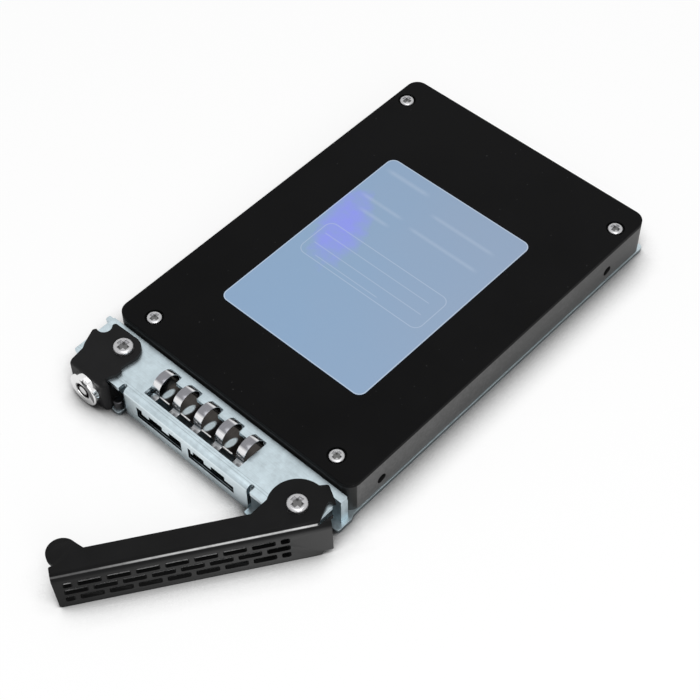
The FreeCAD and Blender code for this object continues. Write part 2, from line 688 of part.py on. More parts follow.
def shoulder_screw(place):
    """A pan-head screw whose plain shoulder is the pivot and whose thread enters the nut below."""
    x, y = place
    head_z = HANDLE_TOP + 0.05
    head = pan_head(x, y, head_z, PIVOT_HEAD_R, PIVOT_HEAD_H)
    shoulder = rod(x, y, BRACKET_H, head_z, PIVOT_R)
    thread = rod(x, y, PLATE_Z - NUT_H, BRACKET_H, THREAD_R)
    recess = cross_recess(x, y, head_z + PIVOT_HEAD_H, PIVOT_HEAD_R, 0.7)
    return cut(fuse([head, shoulder, thread]), recess)


def clinch_nut(place):
    """A hexagonal nut held under the top plate."""
    x, y = place
    corners = []
    for i in range(6):
        a = math.radians(60 * i)
        corners.append((x + NUT_R * math.cos(a), y + NUT_R * math.sin(a), 0.0))
    nut = plate(corners, PLATE_Z - NUT_H, NUT_H)
    return cut(nut, [rod(x, y, PLATE_Z - NUT_H, PLATE_Z, THREAD_R + SCREW_CLEAR)])


# ---------------------------------------------------------------- the keyed latch
def latch_bracket():
    """The latch: a plate that turns on its screw, with a hook, a front wall and a short side wall."""
    px, py = LATCH_PIVOT
    bend_y = LATCH_FRONT + LATCH_BEND_R
    right = LATCH_SIDE - LATCH_BEND_R
    lobe = rod(px, py, HANDLE_Z, HANDLE_TOP, LATCH_LOBE_R)
    body = plate([(LATCH_LEFT, bend_y, 0.0), (-33.3, -11.4, 0.8), (-34.0, -10.3, 0.6),
                  (-35.6, -6.4, 0.7), (-35.0, -5.7, 0.4), (-33.0, -4.2, 0.0), (-33.3, -1.9, 0.6),
                  (px - 1.0, py + LATCH_LOBE_R - 0.05, 0.0), (px, py - 2.0, 0.0),
                  (px + LATCH_LOBE_R - 0.15, py - 1.0, 0.0), (-23.3, -9.4, 0.5), (-22.5, -9.9, 0.4),
                  (-22.5, -11.4, 0.7), (-23.3, -12.9, 0.5), (-23.3, bend_y, 0.0)],
                 HANDLE_Z, SHEET_T)
    parts = [lobe, body]
    parts += fold(LATCH_LEFT, right, LATCH_FRONT, HANDLE_TOP, LATCH_WALL_BOTTOM, LATCH_BEND_R)
    side = fold(0, LATCH_SIDE_END - bend_y, 0, HANDLE_TOP, LATCH_WALL_BOTTOM, LATCH_BEND_R)
    for piece in side:
        piece.rotate(V(0, 0, 0), V(0, 0, 1), 90)
        piece.translate(V(LATCH_SIDE, bend_y, 0))
    parts += side
    corner = corner_bend(right, bend_y)
    scallop = rod(-34.35, -4.15, HANDLE_Z, HANDLE_TOP, 1.75)
    tools = [scallop, rod_y(LOCK_X, LOCK_Z, LATCH_FRONT - 1, bend_y + 1, LOCK_BARREL_R + SCREW_CLEAR)]
    tools.append(rod(px, py, HANDLE_Z, HANDLE_TOP, PIVOT_R + PIVOT_CLEAR))
    return cut(fuse(parts + [corner]), tools)


def corner_bend(x, y):
    """The drawn corner where the latch's front and side walls meet, a hollow quarter post."""
    outer_r = LATCH_BEND_R
    inner_r = LATCH_BEND_R - SHEET_T
    knee = HANDLE_TOP - outer_r
    post = rod(x, y, LATCH_WALL_BOTTOM, knee, outer_r)
    ball = Part.makeSphere(outer_r, V(x, y, knee))
    solid = post.fuse(ball)
    hollow = rod(x, y, LATCH_WALL_BOTTOM, knee, inner_r).fuse(Part.makeSphere(inner_r, V(x, y, knee)))
    quarter = box(x, x + outer_r, y - outer_r, y, LATCH_WALL_BOTTOM, HANDLE_TOP)
    return solid.cut(hollow).common(quarter)


def lock_housing():
    """The lock's barrel: a round nose in front of the latch's wall and a body through it."""
    nose = rod_y(LOCK_X, LOCK_Z, LOCK_FACE, LATCH_FRONT, LOCK_HEAD_R)
    rim = [e for e in nose.Edges if e.BoundBox.YMax < LOCK_FACE + 0.01]
    nose = nose.makeFillet(0.3, rim)
    barrel = rod_y(LOCK_X, LOCK_Z, LATCH_FRONT, LOCK_BARREL_REAR, LOCK_BARREL_R)
    body = fuse([nose, barrel])
    wall_inside = LATCH_FRONT + SHEET_T
    groove = rod_y(LOCK_X, LOCK_Z, wall_inside, wall_inside + CLIP_T, LOCK_BARREL_R + 1.0)
    groove = groove.cut(rod_y(LOCK_X, LOCK_Z, wall_inside, wall_inside + CLIP_T, LOCK_BARREL_R - 0.3))
    bore = rod_y(LOCK_X, LOCK_Z, LOCK_FACE, LOCK_BARREL_REAR, LOCK_CORE_R + LOCK_CLEAR)
    index = box(LOCK_X + 0.4, LOCK_X + 2.0, LOCK_FACE - 0.1, LATCH_FRONT - 0.2,
                LOCK_Z + LOCK_HEAD_R - 1.1, LOCK_Z + LOCK_HEAD_R)
    return cut(body, [groove, bore, index])


def lock_core():
    """The part the key turns: a plug with a ring-shaped keyway round a centre post."""
    core = rod_y(LOCK_X, LOCK_Z, LOCK_FACE + 0.1, LOCK_BARREL_REAR, LOCK_CORE_R)
    tail = rod_y(LOCK_X, LOCK_Z, LOCK_BARREL_REAR, LOCK_BARREL_REAR + CAM_T, 0.9)
    keyway = rod_y(LOCK_X, LOCK_Z, LOCK_FACE + 0.1, LOCK_FACE + 0.1 + KEYWAY_DEPTH, LOCK_CORE_R - 0.3)
    post_r = LOCK_CORE_R - 0.3 - KEYWAY_W
    post = rod_y(LOCK_X, LOCK_Z, LOCK_FACE + 0.1, LOCK_FACE + 0.1 + KEYWAY_DEPTH, post_r)
    return cut(fuse([core, tail]), [keyway.cut(post)])


def lock_cam():
    """The tongue on the end of the core."""
    y0 = LOCK_BARREL_REAR
    hub = rod_y(LOCK_X, LOCK_Z, y0, y0 + CAM_T, 1.7)
    tongue = box(LOCK_X - 0.9, LOCK_X + 0.9, y0, y0 + CAM_T, LOCK_Z, LOCK_Z + CAM_REACH)
    return cut(fuse([hub, tongue]), [rod_y(LOCK_X, LOCK_Z, y0, y0 + CAM_T, 0.9)])


def lock_clip():
    """The spring clip in the barrel's groove, tight against the inside of the latch's wall."""
    y0 = LATCH_FRONT + SHEET_T
    ring = rod_y(LOCK_X, LOCK_Z, y0, y0 + CLIP_T, LOCK_BARREL_R + 0.6)
    mouth = box(LOCK_X - 1.2, LOCK_X + 1.2, y0, y0 + CLIP_T, LOCK_Z - LOCK_HEAD_R, LOCK_Z)
    crown = box(LOCK_X - LOCK_HEAD_R, LOCK_X + LOCK_HEAD_R, y0, y0 + CLIP_T, PLATE_Z - 0.2, HANDLE_TOP)
    return cut(ring, [rod_y(LOCK_X, LOCK_Z, y0, y0 + CLIP_T, LOCK_BARREL_R - 0.25), mouth, crown])


def latch_stop_pin():
    """The pin in the tray that the latch's side wall rests against."""
    stem = rod(PIN_X, PIN_Y, 0, SHEET_T, 0.8)
    post = rod(PIN_X, PIN_Y, SHEET_T, PIN_TOP, PIN_R)
    rim = [e for e in post.Edges if e.BoundBox.ZMin > PIN_TOP - 0.01]
    return fuse([stem, post.makeFillet(0.3, rim)])


PIECES = {
    "drive_case": drive_case,
    "drive_cover": drive_cover,
    "drive_label": drive_label,
    "drive_board": drive_board,
    "controller_chip": controller_chip,
    "connector_housing": connector_housing,
    "connector_contacts": connector_contacts,
    "tray_plate": tray_plate,
    "front_bracket": front_bracket,
    "shield_springs": shield_springs,
    "latch_stop_pin": latch_stop_pin,
    "cam_handle": cam_handle,
    "handle_screw": lambda: shoulder_screw(PIVOT),
    "handle_nut": lambda: clinch_nut(PIVOT),
    "latch_bracket": latch_bracket,
    "latch_screw": lambda: shoulder_screw(LATCH_PIVOT),
    "latch_nut": lambda: clinch_nut(LATCH_PIVOT),
    "lock_housing": lock_housing,
    "lock_core": lock_core,
    "lock_cam": lock_cam,
    "lock_clip": lock_clip,
}

REPEATED = {
    "cover_screw": cover_screws,
    "board_screw": board_screws,
    "memory_chip": memory_chips,
    "mounting_screw": mounting_screws,
    "bracket_rivet": bracket_rivets,
}


def save(name, shape):
    """Write one named piece and print its measurements."""
    shape.exportStep(os.path.join("parts", name + ".step"))
    size = shape.BoundBox
    print(f"{name}: solids {len(shape.Solids)} volume {shape.Volume:.1f} valid {shape.isValid()} "
          f"x {size.XMin:.2f}..{size.XMax:.2f} y {size.YMin:.2f}..{size.YMax:.2f} "
          f"z {size.ZMin:.2f}..{size.ZMax:.2f}")


os.makedirs("parts", exist_ok=True)
for name, make in PIECES.items():
    save(name, make())
for name, make in REPEATED.items():
    for number, shape in enumerate(make(), 1):
        save(f"{name}_{number}", shape)
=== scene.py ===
# %% [markdown]
# # A hot swap drive caddy
#
# The object is a slim storage drive screwed to a folded steel tray.  In front of the drive stands a zinc
# plated bracket with a strip of bowed spring fingers, a keyed latch at the left and a perforated cam
# handle at the right.  The exact shapes come from a CAD model that is already packed, so this script does
# not model the sheet metal again.  It gives every surface its finish, adds the parts whose look depends
# on soft edges and fine repetition, and sets up a floor, light and a camera.

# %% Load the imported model
import json
import math

import bmesh
import bpy
from mathutils import Euler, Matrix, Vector

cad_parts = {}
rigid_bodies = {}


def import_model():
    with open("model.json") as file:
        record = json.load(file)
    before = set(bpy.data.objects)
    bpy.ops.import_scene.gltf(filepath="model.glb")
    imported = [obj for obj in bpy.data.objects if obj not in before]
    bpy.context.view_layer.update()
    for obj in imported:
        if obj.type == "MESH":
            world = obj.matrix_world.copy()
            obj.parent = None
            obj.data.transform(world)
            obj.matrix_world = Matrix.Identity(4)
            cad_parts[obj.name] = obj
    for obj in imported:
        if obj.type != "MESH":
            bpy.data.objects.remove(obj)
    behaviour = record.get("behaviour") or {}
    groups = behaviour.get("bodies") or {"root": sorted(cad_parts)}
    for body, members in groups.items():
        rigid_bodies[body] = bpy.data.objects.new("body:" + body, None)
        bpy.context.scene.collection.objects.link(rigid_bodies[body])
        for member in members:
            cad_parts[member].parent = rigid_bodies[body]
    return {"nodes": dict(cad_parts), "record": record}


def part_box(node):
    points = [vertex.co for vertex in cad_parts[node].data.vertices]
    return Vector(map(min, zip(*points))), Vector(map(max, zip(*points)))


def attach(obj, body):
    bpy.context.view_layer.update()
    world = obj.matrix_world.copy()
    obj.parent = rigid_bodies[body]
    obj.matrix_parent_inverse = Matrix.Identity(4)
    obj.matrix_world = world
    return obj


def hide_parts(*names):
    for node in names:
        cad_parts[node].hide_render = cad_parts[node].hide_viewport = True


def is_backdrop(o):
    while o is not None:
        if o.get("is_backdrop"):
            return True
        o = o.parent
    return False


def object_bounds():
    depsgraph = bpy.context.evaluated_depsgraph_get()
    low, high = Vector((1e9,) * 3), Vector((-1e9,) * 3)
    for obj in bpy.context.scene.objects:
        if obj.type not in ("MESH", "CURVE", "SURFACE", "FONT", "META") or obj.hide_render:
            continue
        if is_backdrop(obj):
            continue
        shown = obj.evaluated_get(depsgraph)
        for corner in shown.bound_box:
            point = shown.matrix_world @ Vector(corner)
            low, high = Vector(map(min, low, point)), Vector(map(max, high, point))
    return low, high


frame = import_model()
cad_low, cad_high = (Vector(corner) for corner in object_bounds())
nodes = frame["nodes"]
MM = 0.001
print("nodes:", len(nodes), "box in mm:", [round(v / MM, 1) for v in (cad_high - cad_low)])

# %% [markdown]
# Every place below is worked out from the frame.

# %% Measure the frame
def family(start):
    """The names of all the nodes that begin with a word, in order."""
    return sorted(name for name in nodes if name.startswith(start))


def corners(node):
    """The lowest and highest corner of a node, as vectors."""
    low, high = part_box(node)
    return Vector(low), Vector(high)


drive_low, drive_high = corners("drive_case")
label_low, label_high = corners("drive_label")
bracket_low, bracket_high = corners("front_bracket")
spring_low, spring_high = corners("shield_springs")
joint_place = {joint["name"]: Vector(joint["pos_m"]) for joint in frame["record"]["behaviour"]["joints"]}
print("joints at mm:", {name: [round(v / MM, 1) for v in place] for name, place in joint_place.items()})

# %% [markdown]
# ## The camera
#
# The object is looked down on from its front right corner, so that the lid, the long side wall and the
# bracket all show.  A long lens from a third of a metre keeps the drive's edges nearly parallel, as a
# product shot does.  A very small shift places the object in the frame.

# %% Camera
CAMERA_PLACE = Vector((156.9, -130.8, 282.6)) * MM
CAMERA_TURN = (37.04, 1.30, 43.29)
LENS = 83.05
SENSOR = 36.0
SHIFT = 0.05

camera_data = bpy.data.cameras.new("product_camera")
camera_data.lens = LENS
camera_data.sensor_width = SENSOR
camera_data.shift_x = SHIFT
camera_data.shift_y = SHIFT
camera = bpy.data.objects.new("product_camera", camera_data)
camera.location = CAMERA_PLACE
camera.rotation_euler = Euler([math.radians(angle) for angle in CAMERA_TURN], "XYZ")
bpy.context.scene.collection.objects.link(camera)
bpy.context.scene.camera = camera
print("camera stands", round((CAMERA_PLACE - (cad_low + cad_high) / 2).length / MM), "mm away")

# %% [markdown]
# ## Writing shader maths as sums
#
# A finish is mostly arithmetic on positions and noise.  Wiring each Math node by hand hides that
# arithmetic, so `Wire` wraps a socket and overloads the operators: an expression on values adds the
# nodes for it.  Colours never pass through a Math node, because it would turn them grey; they are mixed
# by `Finish.blend`.  `Shading.node` makes any other node from its type, its settings and its inputs, in
# a material's tree or in the world's.

# %% A socket that can be calculated with
class Wire:
    """A number socket that adds Math nodes when it is calculated with."""

    def __init__(self, shading, socket):
        self.shading = shading
        self.socket = socket

    def math(self, operation, *others):
        return self.shading.node("ShaderNodeMath", {"operation": operation}, [self, *others])

    def __add__(self, other):
        return self.math("ADD", other)

    def __radd__(self, other):
        return self.math("ADD", other)

    def __sub__(self, other):
        return self.math("SUBTRACT", other)

    def __rsub__(self, other):
        return self.shading.node("ShaderNodeMath", {"operation": "SUBTRACT"}, [other, self])

    def __mul__(self, other):
        return self.math("MULTIPLY", other)

    def __rmul__(self, other):
        return self.math("MULTIPLY", other)

    def __truediv__(self, other):
        return self.math("DIVIDE", other)

    def __abs__(self):
        return self.math("ABSOLUTE")

    def below(self, limit, soft):
        """1 where the value is under the limit, falling to 0 over a soft stretch."""
        return ((limit - self) / soft + 0.5).clamp()

    def above(self, limit, soft):
        """1 where the value is over the limit, rising from 0 over a soft stretch."""
        return ((self - limit) / soft + 0.5).clamp()

    def clamp(self):
        return self.shading.node("ShaderNodeClamp", {}, [self, 0.0, 1.0])

    def largest(self, other):
        return self.math("MAXIMUM", other)


# %% A shader tree that nodes are added to
class Shading:
    """A shader tree and the means to add nodes to it."""

    def __init__(self, tree):
        self.tree = tree

    def node(self, kind, settings, inputs=(), output=0):
        """Add a node: its settings first, then its inputs by order or by name."""
        made = self.tree.nodes.new(kind)
        for key, value in settings.items():
            setattr(made, key, value)
        pairs = inputs.items() if isinstance(inputs, dict) else enumerate(inputs)
        for key, value in pairs:
            self.feed(made.inputs[key], value)
        return Wire(self, made.outputs[output])

    def feed(self, socket, value):
        """Join a wire to a socket, or set a constant on it."""
        if isinstance(value, Wire):
            self.tree.links.new(value.socket, socket)
        else:
            socket.default_value = value

    def looked_at(self):
        """1 for rays that come from the camera or by way of glossy and clear surfaces, else 0."""
        camera_ray, glossy_ray, clear_ray = (
            self.node("ShaderNodeLightPath", {}, output=f"Is {kind} Ray")
            for kind in ("Camera", "Glossy", "Transmission"))
        return camera_ray.largest(glossy_ray).largest(clear_ray)


# %% A finish: one material and its patterns
class Finish(Shading):
    """A material whose surface is a Principled shader, with helpers for patterns on the object."""

    def __init__(self, name, **constants):
        self.material = bpy.data.materials.new(name)
        self.material.use_nodes = True
        super().__init__(self.material.node_tree)
        self.surface = self.tree.nodes["Principled BSDF"]
        for key, value in constants.items():
            self.surface.inputs[key.replace("_", " ")].default_value = value

    def place(self, stretch=(1, 1, 1), centre=(0, 0, 0), turn=0.0):
        """Object coordinates about a centre, in millimetres, turned about Z and stretched."""
        position = self.node("ShaderNodeTexCoord", {}, output="Object")
        about = self.node("ShaderNodeVectorMath", {"operation": "SUBTRACT"}, [position, centre])
        turned = self.node("ShaderNodeVectorRotate", {"rotation_type": "Z_AXIS"},
                           {"Vector": about, "Angle": -turn})
        scale = tuple(value / MM for value in stretch)
        return self.node("ShaderNodeVectorMath", {"operation": "MULTIPLY"}, [turned, scale])

    def axes(self, vector):
        """The X, Y and Z of a vector, as three values."""
        parts = self.tree.nodes.new("ShaderNodeSeparateXYZ")
        self.feed(parts.inputs[0], vector)
        return [Wire(self, socket) for socket in parts.outputs]

    def noise(self, vector, scale, detail=2.0, roughness=0.5):
        """Soft noise from 0 to 1."""
        inputs = {"Vector": vector, "Scale": scale, "Detail": detail, "Roughness": roughness}
        return self.node("ShaderNodeTexNoise", {}, inputs, output="Fac")

    def blend(self, amount, first, second):
        """Mix two colours by a value."""
        made = self.tree.nodes.new("ShaderNodeMix")
        made.data_type = "RGBA"
        colour_sockets = [socket for socket in made.inputs if socket.type == "RGBA"]
        self.feed(made.inputs["Factor"], amount)
        for socket, value in zip(colour_sockets, (first, second)):
            self.feed(socket, value)
        return Wire(self, next(socket for socket in made.outputs if socket.type == "RGBA"))

    def set(self, **inputs):
        """Feed the surface shader's sockets."""
        for key, value in inputs.items():
            self.feed(self.surface.inputs[key.replace("_", " ")], value)

    def bump(self, height, strength, distance, edge_mm=0.0):
        """Raise the surface by a height, over edges that are rounded by a small radius."""
        inputs = {"Height": height, "Strength": strength, "Distance": distance * MM}
        if edge_mm:
            rounded = self.node("ShaderNodeBevel", {"samples": 6}, {"Radius": edge_mm * MM})
            inputs["Normal"] = rounded
        self.set(Normal=self.node("ShaderNodeBump", {}, inputs))


def colour(red, green, blue):
    """A colour with full alpha."""
    return (red, green, blue, 1.0)


def coat(names, finish):
    """Give a finish to nodes, in every material slot that they have."""
    for name in names:
        for slot in nodes[name].material_slots:
            slot.material = finish.material
    print(f"{finish.material.name}: {len(names)} nodes")


# %% [markdown]
# ## The drive's lid and case
#
# The lid is stamped and painted a very dark, almost matte black.  Its powder coat is not flat: fine
# grain breaks up the reflection and a few dust specks sit on it.  Noise at a sixth of a millimetre drives
# both the bump and a little of the roughness.  The lid is painted a little lighter towards its rear, a
# painted sheen.  The case below is cast and wears a lighter, mottled grey black.  That lighter colour is
# partly painted light for the light that falls on the side wall, which is why the side wall reads so much
# lighter than the lid, and the case is painted darker towards its rear, a painted shade.

# %% Black paint
DUST = colour(0.08, 0.08, 0.08)


def painted_rear_light(paint, gain):
    """A value that grows from 0 at the drive's front to the gain at its rear, for painted light along the
    drive.
    """
    _, along, _ = paint.axes(paint.place(centre=tuple(drive_low)))
    return (along * (MM / (drive_high.y - drive_low.y))) * gain


def black_paint(name, base, grain_mm, grain_height, rough, specular, specks=0.0, edge_mm=0.12,
                rear_light_gain=0.0, mottle=0.0):
    """Satin black paint with grain, cloudy roughness and dust specks, and the colour it has."""
    paint = Finish(name, Specular_IOR_Level=specular)
    here = paint.place()
    cloud = paint.noise(here, 0.07, 3.0)
    grain = paint.noise(here, 1 / grain_mm, 2.0, 0.6)
    speck = paint.noise(here, 1.15, 1.0).above(0.78, 0.04) * specks
    dark = colour(*(value * 0.7 for value in base))
    light = colour(*(value * 1.35 for value in base))
    mottled = (paint.noise(here, 1.3, 4.0, 0.7) - 0.5) * mottle
    body = paint.blend((cloud + mottled + painted_rear_light(paint, rear_light_gain)).clamp(), dark, light)
    dusty = paint.blend(speck, body, DUST)
    paint.set(Base_Color=dusty, Roughness=rough + (cloud - 0.5) * 0.12 + (grain - 0.5) * 0.1)
    paint.bump(grain, 0.35, grain_height, edge_mm)
    return paint, dusty


# The lid is painted a little lighter towards its rear, a painted sheen.
lid_paint, _ = black_paint("lid_paint", (0.0050, 0.0050, 0.0052), grain_mm=0.16, grain_height=0.02,
                           rough=0.5, specular=0.03, specks=0.35, rear_light_gain=0.5)
coat(["drive_cover"], lid_paint)

# %% [markdown]
# The case takes the same paint with other values.  Its front wall, in the narrow gap behind the bracket,
# and its screw holes are painted almost black, a painted shade for the gap and the deep holes.  The front
# wall is found by the way it faces, and the holes by how far they lie inside the side walls.

# %% Case paint
HOLE_START = 0.12
HOLE_END = 3.1
PAINTED_SHADE_BLACK = colour(0.006, 0.006, 0.006)

# The case's light base colour is partly painted light for the side wall, and it is painted darker towards
# its rear, a painted shade.
case_paint, case_colour = black_paint("case_paint", (0.085, 0.085, 0.085), grain_mm=0.3,
                                      grain_height=0.05, rough=0.5, specular=0.25, specks=0.3,
                                      rear_light_gain=-0.7, mottle=1.6)
case_normal = case_paint.node("ShaderNodeNewGeometry", {}, output="Normal")
front_wall = (0 - case_paint.axes(case_normal)[1]).above(0.7, 0.5)
case_x, _, _ = case_paint.axes(case_paint.place())
side = drive_high.x / MM
hole = abs(case_x).below(side - HOLE_START, 0.05) * abs(case_x).above(side - HOLE_END, 0.05)
# Painted shade: the front wall and the screw holes turn almost black.
case_paint.set(Base_Color=case_paint.blend(front_wall.largest(hole), case_colour, PAINTED_SHADE_BLACK))
coat(["drive_case"], case_paint)

# %% [markdown]
# ## The label
#
# The label is a thin film with a satin clear coat.  Its colours are kept plain: a pale blue field with a
# violet patch at one side, and a print of one rounded form frame with ruled lines and a few soft bars in
# place of text.  All of it is arithmetic on the label's own millimetres, measured from its front left
# corner, so nothing depends on an image.

# %% Label print
LABEL_BLUE = colour(0.252, 0.384, 0.565)
LABEL_GREY = colour(0.285, 0.375, 0.520)
LABEL_VIOLET = colour(0.270, 0.300, 0.900)
LABEL_PALE = colour(0.480, 0.580, 0.720)
LABEL_RIM = colour(0.72, 0.78, 0.86)
LABEL_CORNER = 2.0
FORM_FRAME = (3.0, 38.6, 21.6, 32.8)
FORM_RULES = ((4.6, 35.6, 29.2), (4.6, 36.4, 25.6), (7.5, 26.0, 22.8))
FIRST_BAR = (2.4, 14.0, 53.6)
MORE_BARS = ((2.8, 14.2, 44.0), (5.5, 13.4, 40.2), (19.4, 36.6, 49.5), (18.2, 37.0, 43.1))
RIM_INSET = 0.15

label_w = (label_high.x - label_low.x) / MM
label_l = (label_high.y - label_low.y) / MM
label = Finish("label_film", Roughness=0.38, Specular_IOR_Level=0.3, Coat_Roughness=0.3)
label_at = label.place(centre=tuple(label_low))
across, along, _ = label.axes(label_at)


def label_frame(left, right, front, rear, radius, width):
    """A rounded rectangular line, from the distance to its outline."""
    out_x = (abs(across - (left + right) / 2) - ((right - left) / 2 - radius)).largest(0.0)
    out_y = (abs(along - (front + rear) / 2) - ((rear - front) / 2 - radius)).largest(0.0)
    reach = (out_x * out_x + out_y * out_y).math("SQRT")
    return abs(reach - radius).below(width / 2, 0.12)


def label_bar(left, right, place, width, soft=0.3):
    """A straight ruled line or soft bar across the label."""
    inside = across.above(left, soft * 3) * across.below(right, soft * 3)
    return inside * abs(along - place).below(width / 2, soft)


frame_line = label_frame(*FORM_FRAME, LABEL_CORNER, 0.2)
for left, right, place in FORM_RULES:
    frame_line = frame_line.largest(label_bar(left, right, place, 0.22, 0.15) * 0.8)
soft_bars = label_bar(*FIRST_BAR, 1.0, 0.8)
for left, right, place in MORE_BARS:
    soft_bars = soft_bars.largest(label_bar(left, right, place, 0.8, 0.7))
rim = label_frame(RIM_INSET, label_w - RIM_INSET, RIM_INSET, label_l - RIM_INSET,
                  LABEL_CORNER - RIM_INSET, 0.16)
print("label:", round(label_w, 1), "by", round(label_l, 1), "mm, rules:", len(FORM_RULES), "bars:",
      1 + len(MORE_BARS))

# %% [markdown]
# The violet patch is an ellipse whose edge is made ragged by noise.  Its middle, its reach and the
# direction in which it leans are in the label's millimetres, like the lines.

# %% Label colours
VIOLET_PLACE = (6.05, 33.5)
VIOLET_REACH = (6.6, 12.5)
VIOLET_LEAN = 0.3

cloud = label.noise(label_at, 0.06, 2.0)
violet_x = (across - VIOLET_PLACE[0] + (along - VIOLET_PLACE[1]) * VIOLET_LEAN) / VIOLET_REACH[0]
violet_y = (along - VIOLET_PLACE[1]) / VIOLET_REACH[1]
ragged = (label.noise(label_at, 0.28, 3.0) - 0.5) * 1.5
violet = (violet_x * violet_x + violet_y * violet_y + ragged).below(0.5, 1.1)
greyer = across / label_w * 0.7 + along / label_l * 0.6 - 0.35 + (cloud - 0.5) * 0.4
field = label.blend(greyer.clamp(), LABEL_BLUE, LABEL_GREY)
field = label.blend(violet * (0.55 + cloud * 0.7), field, LABEL_VIOLET)
field = label.blend(frame_line * 0.55, field, LABEL_PALE)
field = label.blend(soft_bars * 0.3, field, LABEL_PALE)
field = label.blend(rim * 0.6, field, LABEL_RIM)
label.set(Base_Color=field, Coat_Weight=0.25 + cloud * 0.1)
label.bump(label.noise(label_at, 1.4, 2.0), 0.1, 0.02)
coat(["drive_label"], label)

# %% [markdown]
# ## Zinc plated sheet
#
# The tray and the bracket are zinc plated steel: a bluish metal with faint rolling lines.  A real metal
# has no paint colour, so Metallic is 1 and the tint is all in Base Color.  The rolling lines are noise
# stretched along the sheet, and a second, cloudy noise varies the roughness.

# %% Sheet metal
ZINC_TINT = (0.56, 0.655, 0.70)


def plated_metal(name, tint, rough, roll_height, edge_mm=0.1):
    """Plated sheet, a tinted metal with rolling lines along X and a cloudy sheen, and its colour."""
    metal = Finish(name, Metallic=1.0)
    rolled = metal.noise(metal.place(stretch=(0.25, 5.0, 5.0)), 1.2, 3.0)
    cloud = metal.noise(metal.place(), 0.45, 5.0, 0.65)
    darker = colour(*(value * 0.70 for value in tint))
    lighter = colour(*(min(1.0, value * 1.18) for value in tint))
    sheet = metal.blend(((cloud * 0.7 + rolled * 0.3) - 0.5) * 1.8 + 0.5, darker, lighter)
    metal.set(Base_Color=sheet, Roughness=rough + (cloud - 0.5) * 0.16 + (rolled - 0.5) * 0.1)
    metal.bump(rolled, 0.25, roll_height, edge_mm)
    return metal, sheet


# %% [markdown]
# Two fine lines run along the front of the bracket's top.  The folded face is painted brighter than the
# top, a painted highlight, and the walls of its vents are painted almost black, a painted shade, with one
# paler line along them.  Each is a band in the bracket's own millimetres, from its lowest corner.

# %% The bracket
PRESS_LINES = ((1.75, 0.05, 0.12), (2.35, 0.04, 0.1))
TOP_PLATE = 8.0
FACE_BACK = 0.3
CUT_START = FACE_BACK + 0.12
CUT_END = FACE_BACK + 1.3
PALE_LINE = FACE_BACK + 0.5
VENT_LOW = 1.8
VENT_HIGH = 5.6

zinc, zinc_sheet = plated_metal("zinc_sheet", ZINC_TINT, 0.36, 0.01)
_, zinc_y, zinc_z = zinc.axes(zinc.place(centre=tuple(bracket_low)))
first_line, second_line = (abs(zinc_y - place).below(width, soft) for place, width, soft in PRESS_LINES)
press_lines = first_line.largest(second_line) * zinc_z.above(TOP_PLATE, 0.1)
zinc_normal = zinc.node("ShaderNodeNewGeometry", {}, output="Normal")
front_face = (0 - zinc.axes(zinc_normal)[1]).above(0.75, 0.4) * zinc_y.below(FACE_BACK + 0.1, 0.1)
cut_wall = zinc_y.above(CUT_START, 0.06) * zinc_y.below(CUT_END, 0.1)
vent_wall = cut_wall * zinc_z.above(VENT_LOW, 0.1) * zinc_z.below(VENT_HIGH, 0.1)
pale_line = abs(zinc_y - PALE_LINE).below(0.05, 0.08)
plated = zinc.blend(press_lines * 0.6, zinc_sheet, colour(0.20, 0.25, 0.27))
# Painted highlight: the folded face, facing the front, is painted pale.
plated = zinc.blend(front_face * 0.7, plated, colour(0.86, 0.96, 1.0))
# Painted shade: the vents' walls turn almost black, but for one paler line.
plated = zinc.blend(vent_wall * (1 - pale_line * 0.7), plated, colour(0.012, 0.014, 0.016))
zinc.set(Base_Color=plated)
coat(["front_bracket"], zinc)

# %% [markdown]
# The tray is the same sheet.  Its cut edges are dull, and its front lip, which is seen only through the
# vents, is painted dark, a painted shade.

# %% The tray
LIP_START = 1.2

tray_zinc, tray_sheet = plated_metal("tray_zinc", ZINC_TINT, 0.36, 0.01)
facing = tray_zinc.node("ShaderNodeNewGeometry", {}, output="Normal")
cut_edge = abs(tray_zinc.axes(facing)[2]).below(0.5, 0.3)
_, _, tray_z = tray_zinc.axes(tray_zinc.place())
lip = tray_z.above(LIP_START, 0.2)
edged = tray_zinc.blend(cut_edge, tray_sheet, colour(0.26, 0.30, 0.32))
# Painted shade: the front lip turns almost black.
tray_zinc.set(Base_Color=tray_zinc.blend(lip, edged, colour(0.02, 0.022, 0.024)))
coat(["tray_plate"], tray_zinc)

# %% [markdown]
# ## The shielding springs
#
# Five polished fingers stand in the bracket's long window.  Each is a ribbon that follows a rule: a little
# more than half an ellipse over the plate, then a short foot that reaches forward under it.  A Geometry
# Nodes tree sweeps a rectangle with rounded edges along both paths, repeats the finger along X and adds
# the rail and the web that join them.  Where the strip lies, its pitch and its rise are read from the boxes
# of the CAD strip and the bracket; the other sizes are set here.

# %% Sizes of a finger
FINGERS = 5
FINGER_W = 2.2 * MM
RIBBON_T = 0.2 * MM
RAIL_L = 1.3 * MM
ARCH_SPAN = 5.9 * MM
RAIL_SIDE = 1.5 * MM
PLATE_T = 1.0 * MM

finger_first = spring_low.x + RAIL_SIDE
finger_pitch = (spring_high.x - spring_low.x - 2 * RAIL_SIDE) / (FINGERS - 1)
arch_rear = spring_high.y - RAIL_L + RIBBON_T / 2
arch_middle = arch_rear - ARCH_SPAN / 2
plate_under = bracket_high.z - PLATE_T
arch_base = plate_under + PLATE_T / 2
arch_rise = spring_high.z - RIBBON_T / 2 - arch_base
print("finger pitch", round(finger_pitch / MM, 2), "rise", round(arch_rise / MM, 2))

# %% [markdown]
# A Geometry Nodes tree is a row of calls too, so `Tree` makes one from its named sizes.  Its `node` works
# like the one for shaders, and its `mesh` runs the tree once and keeps the result as a plain mesh.

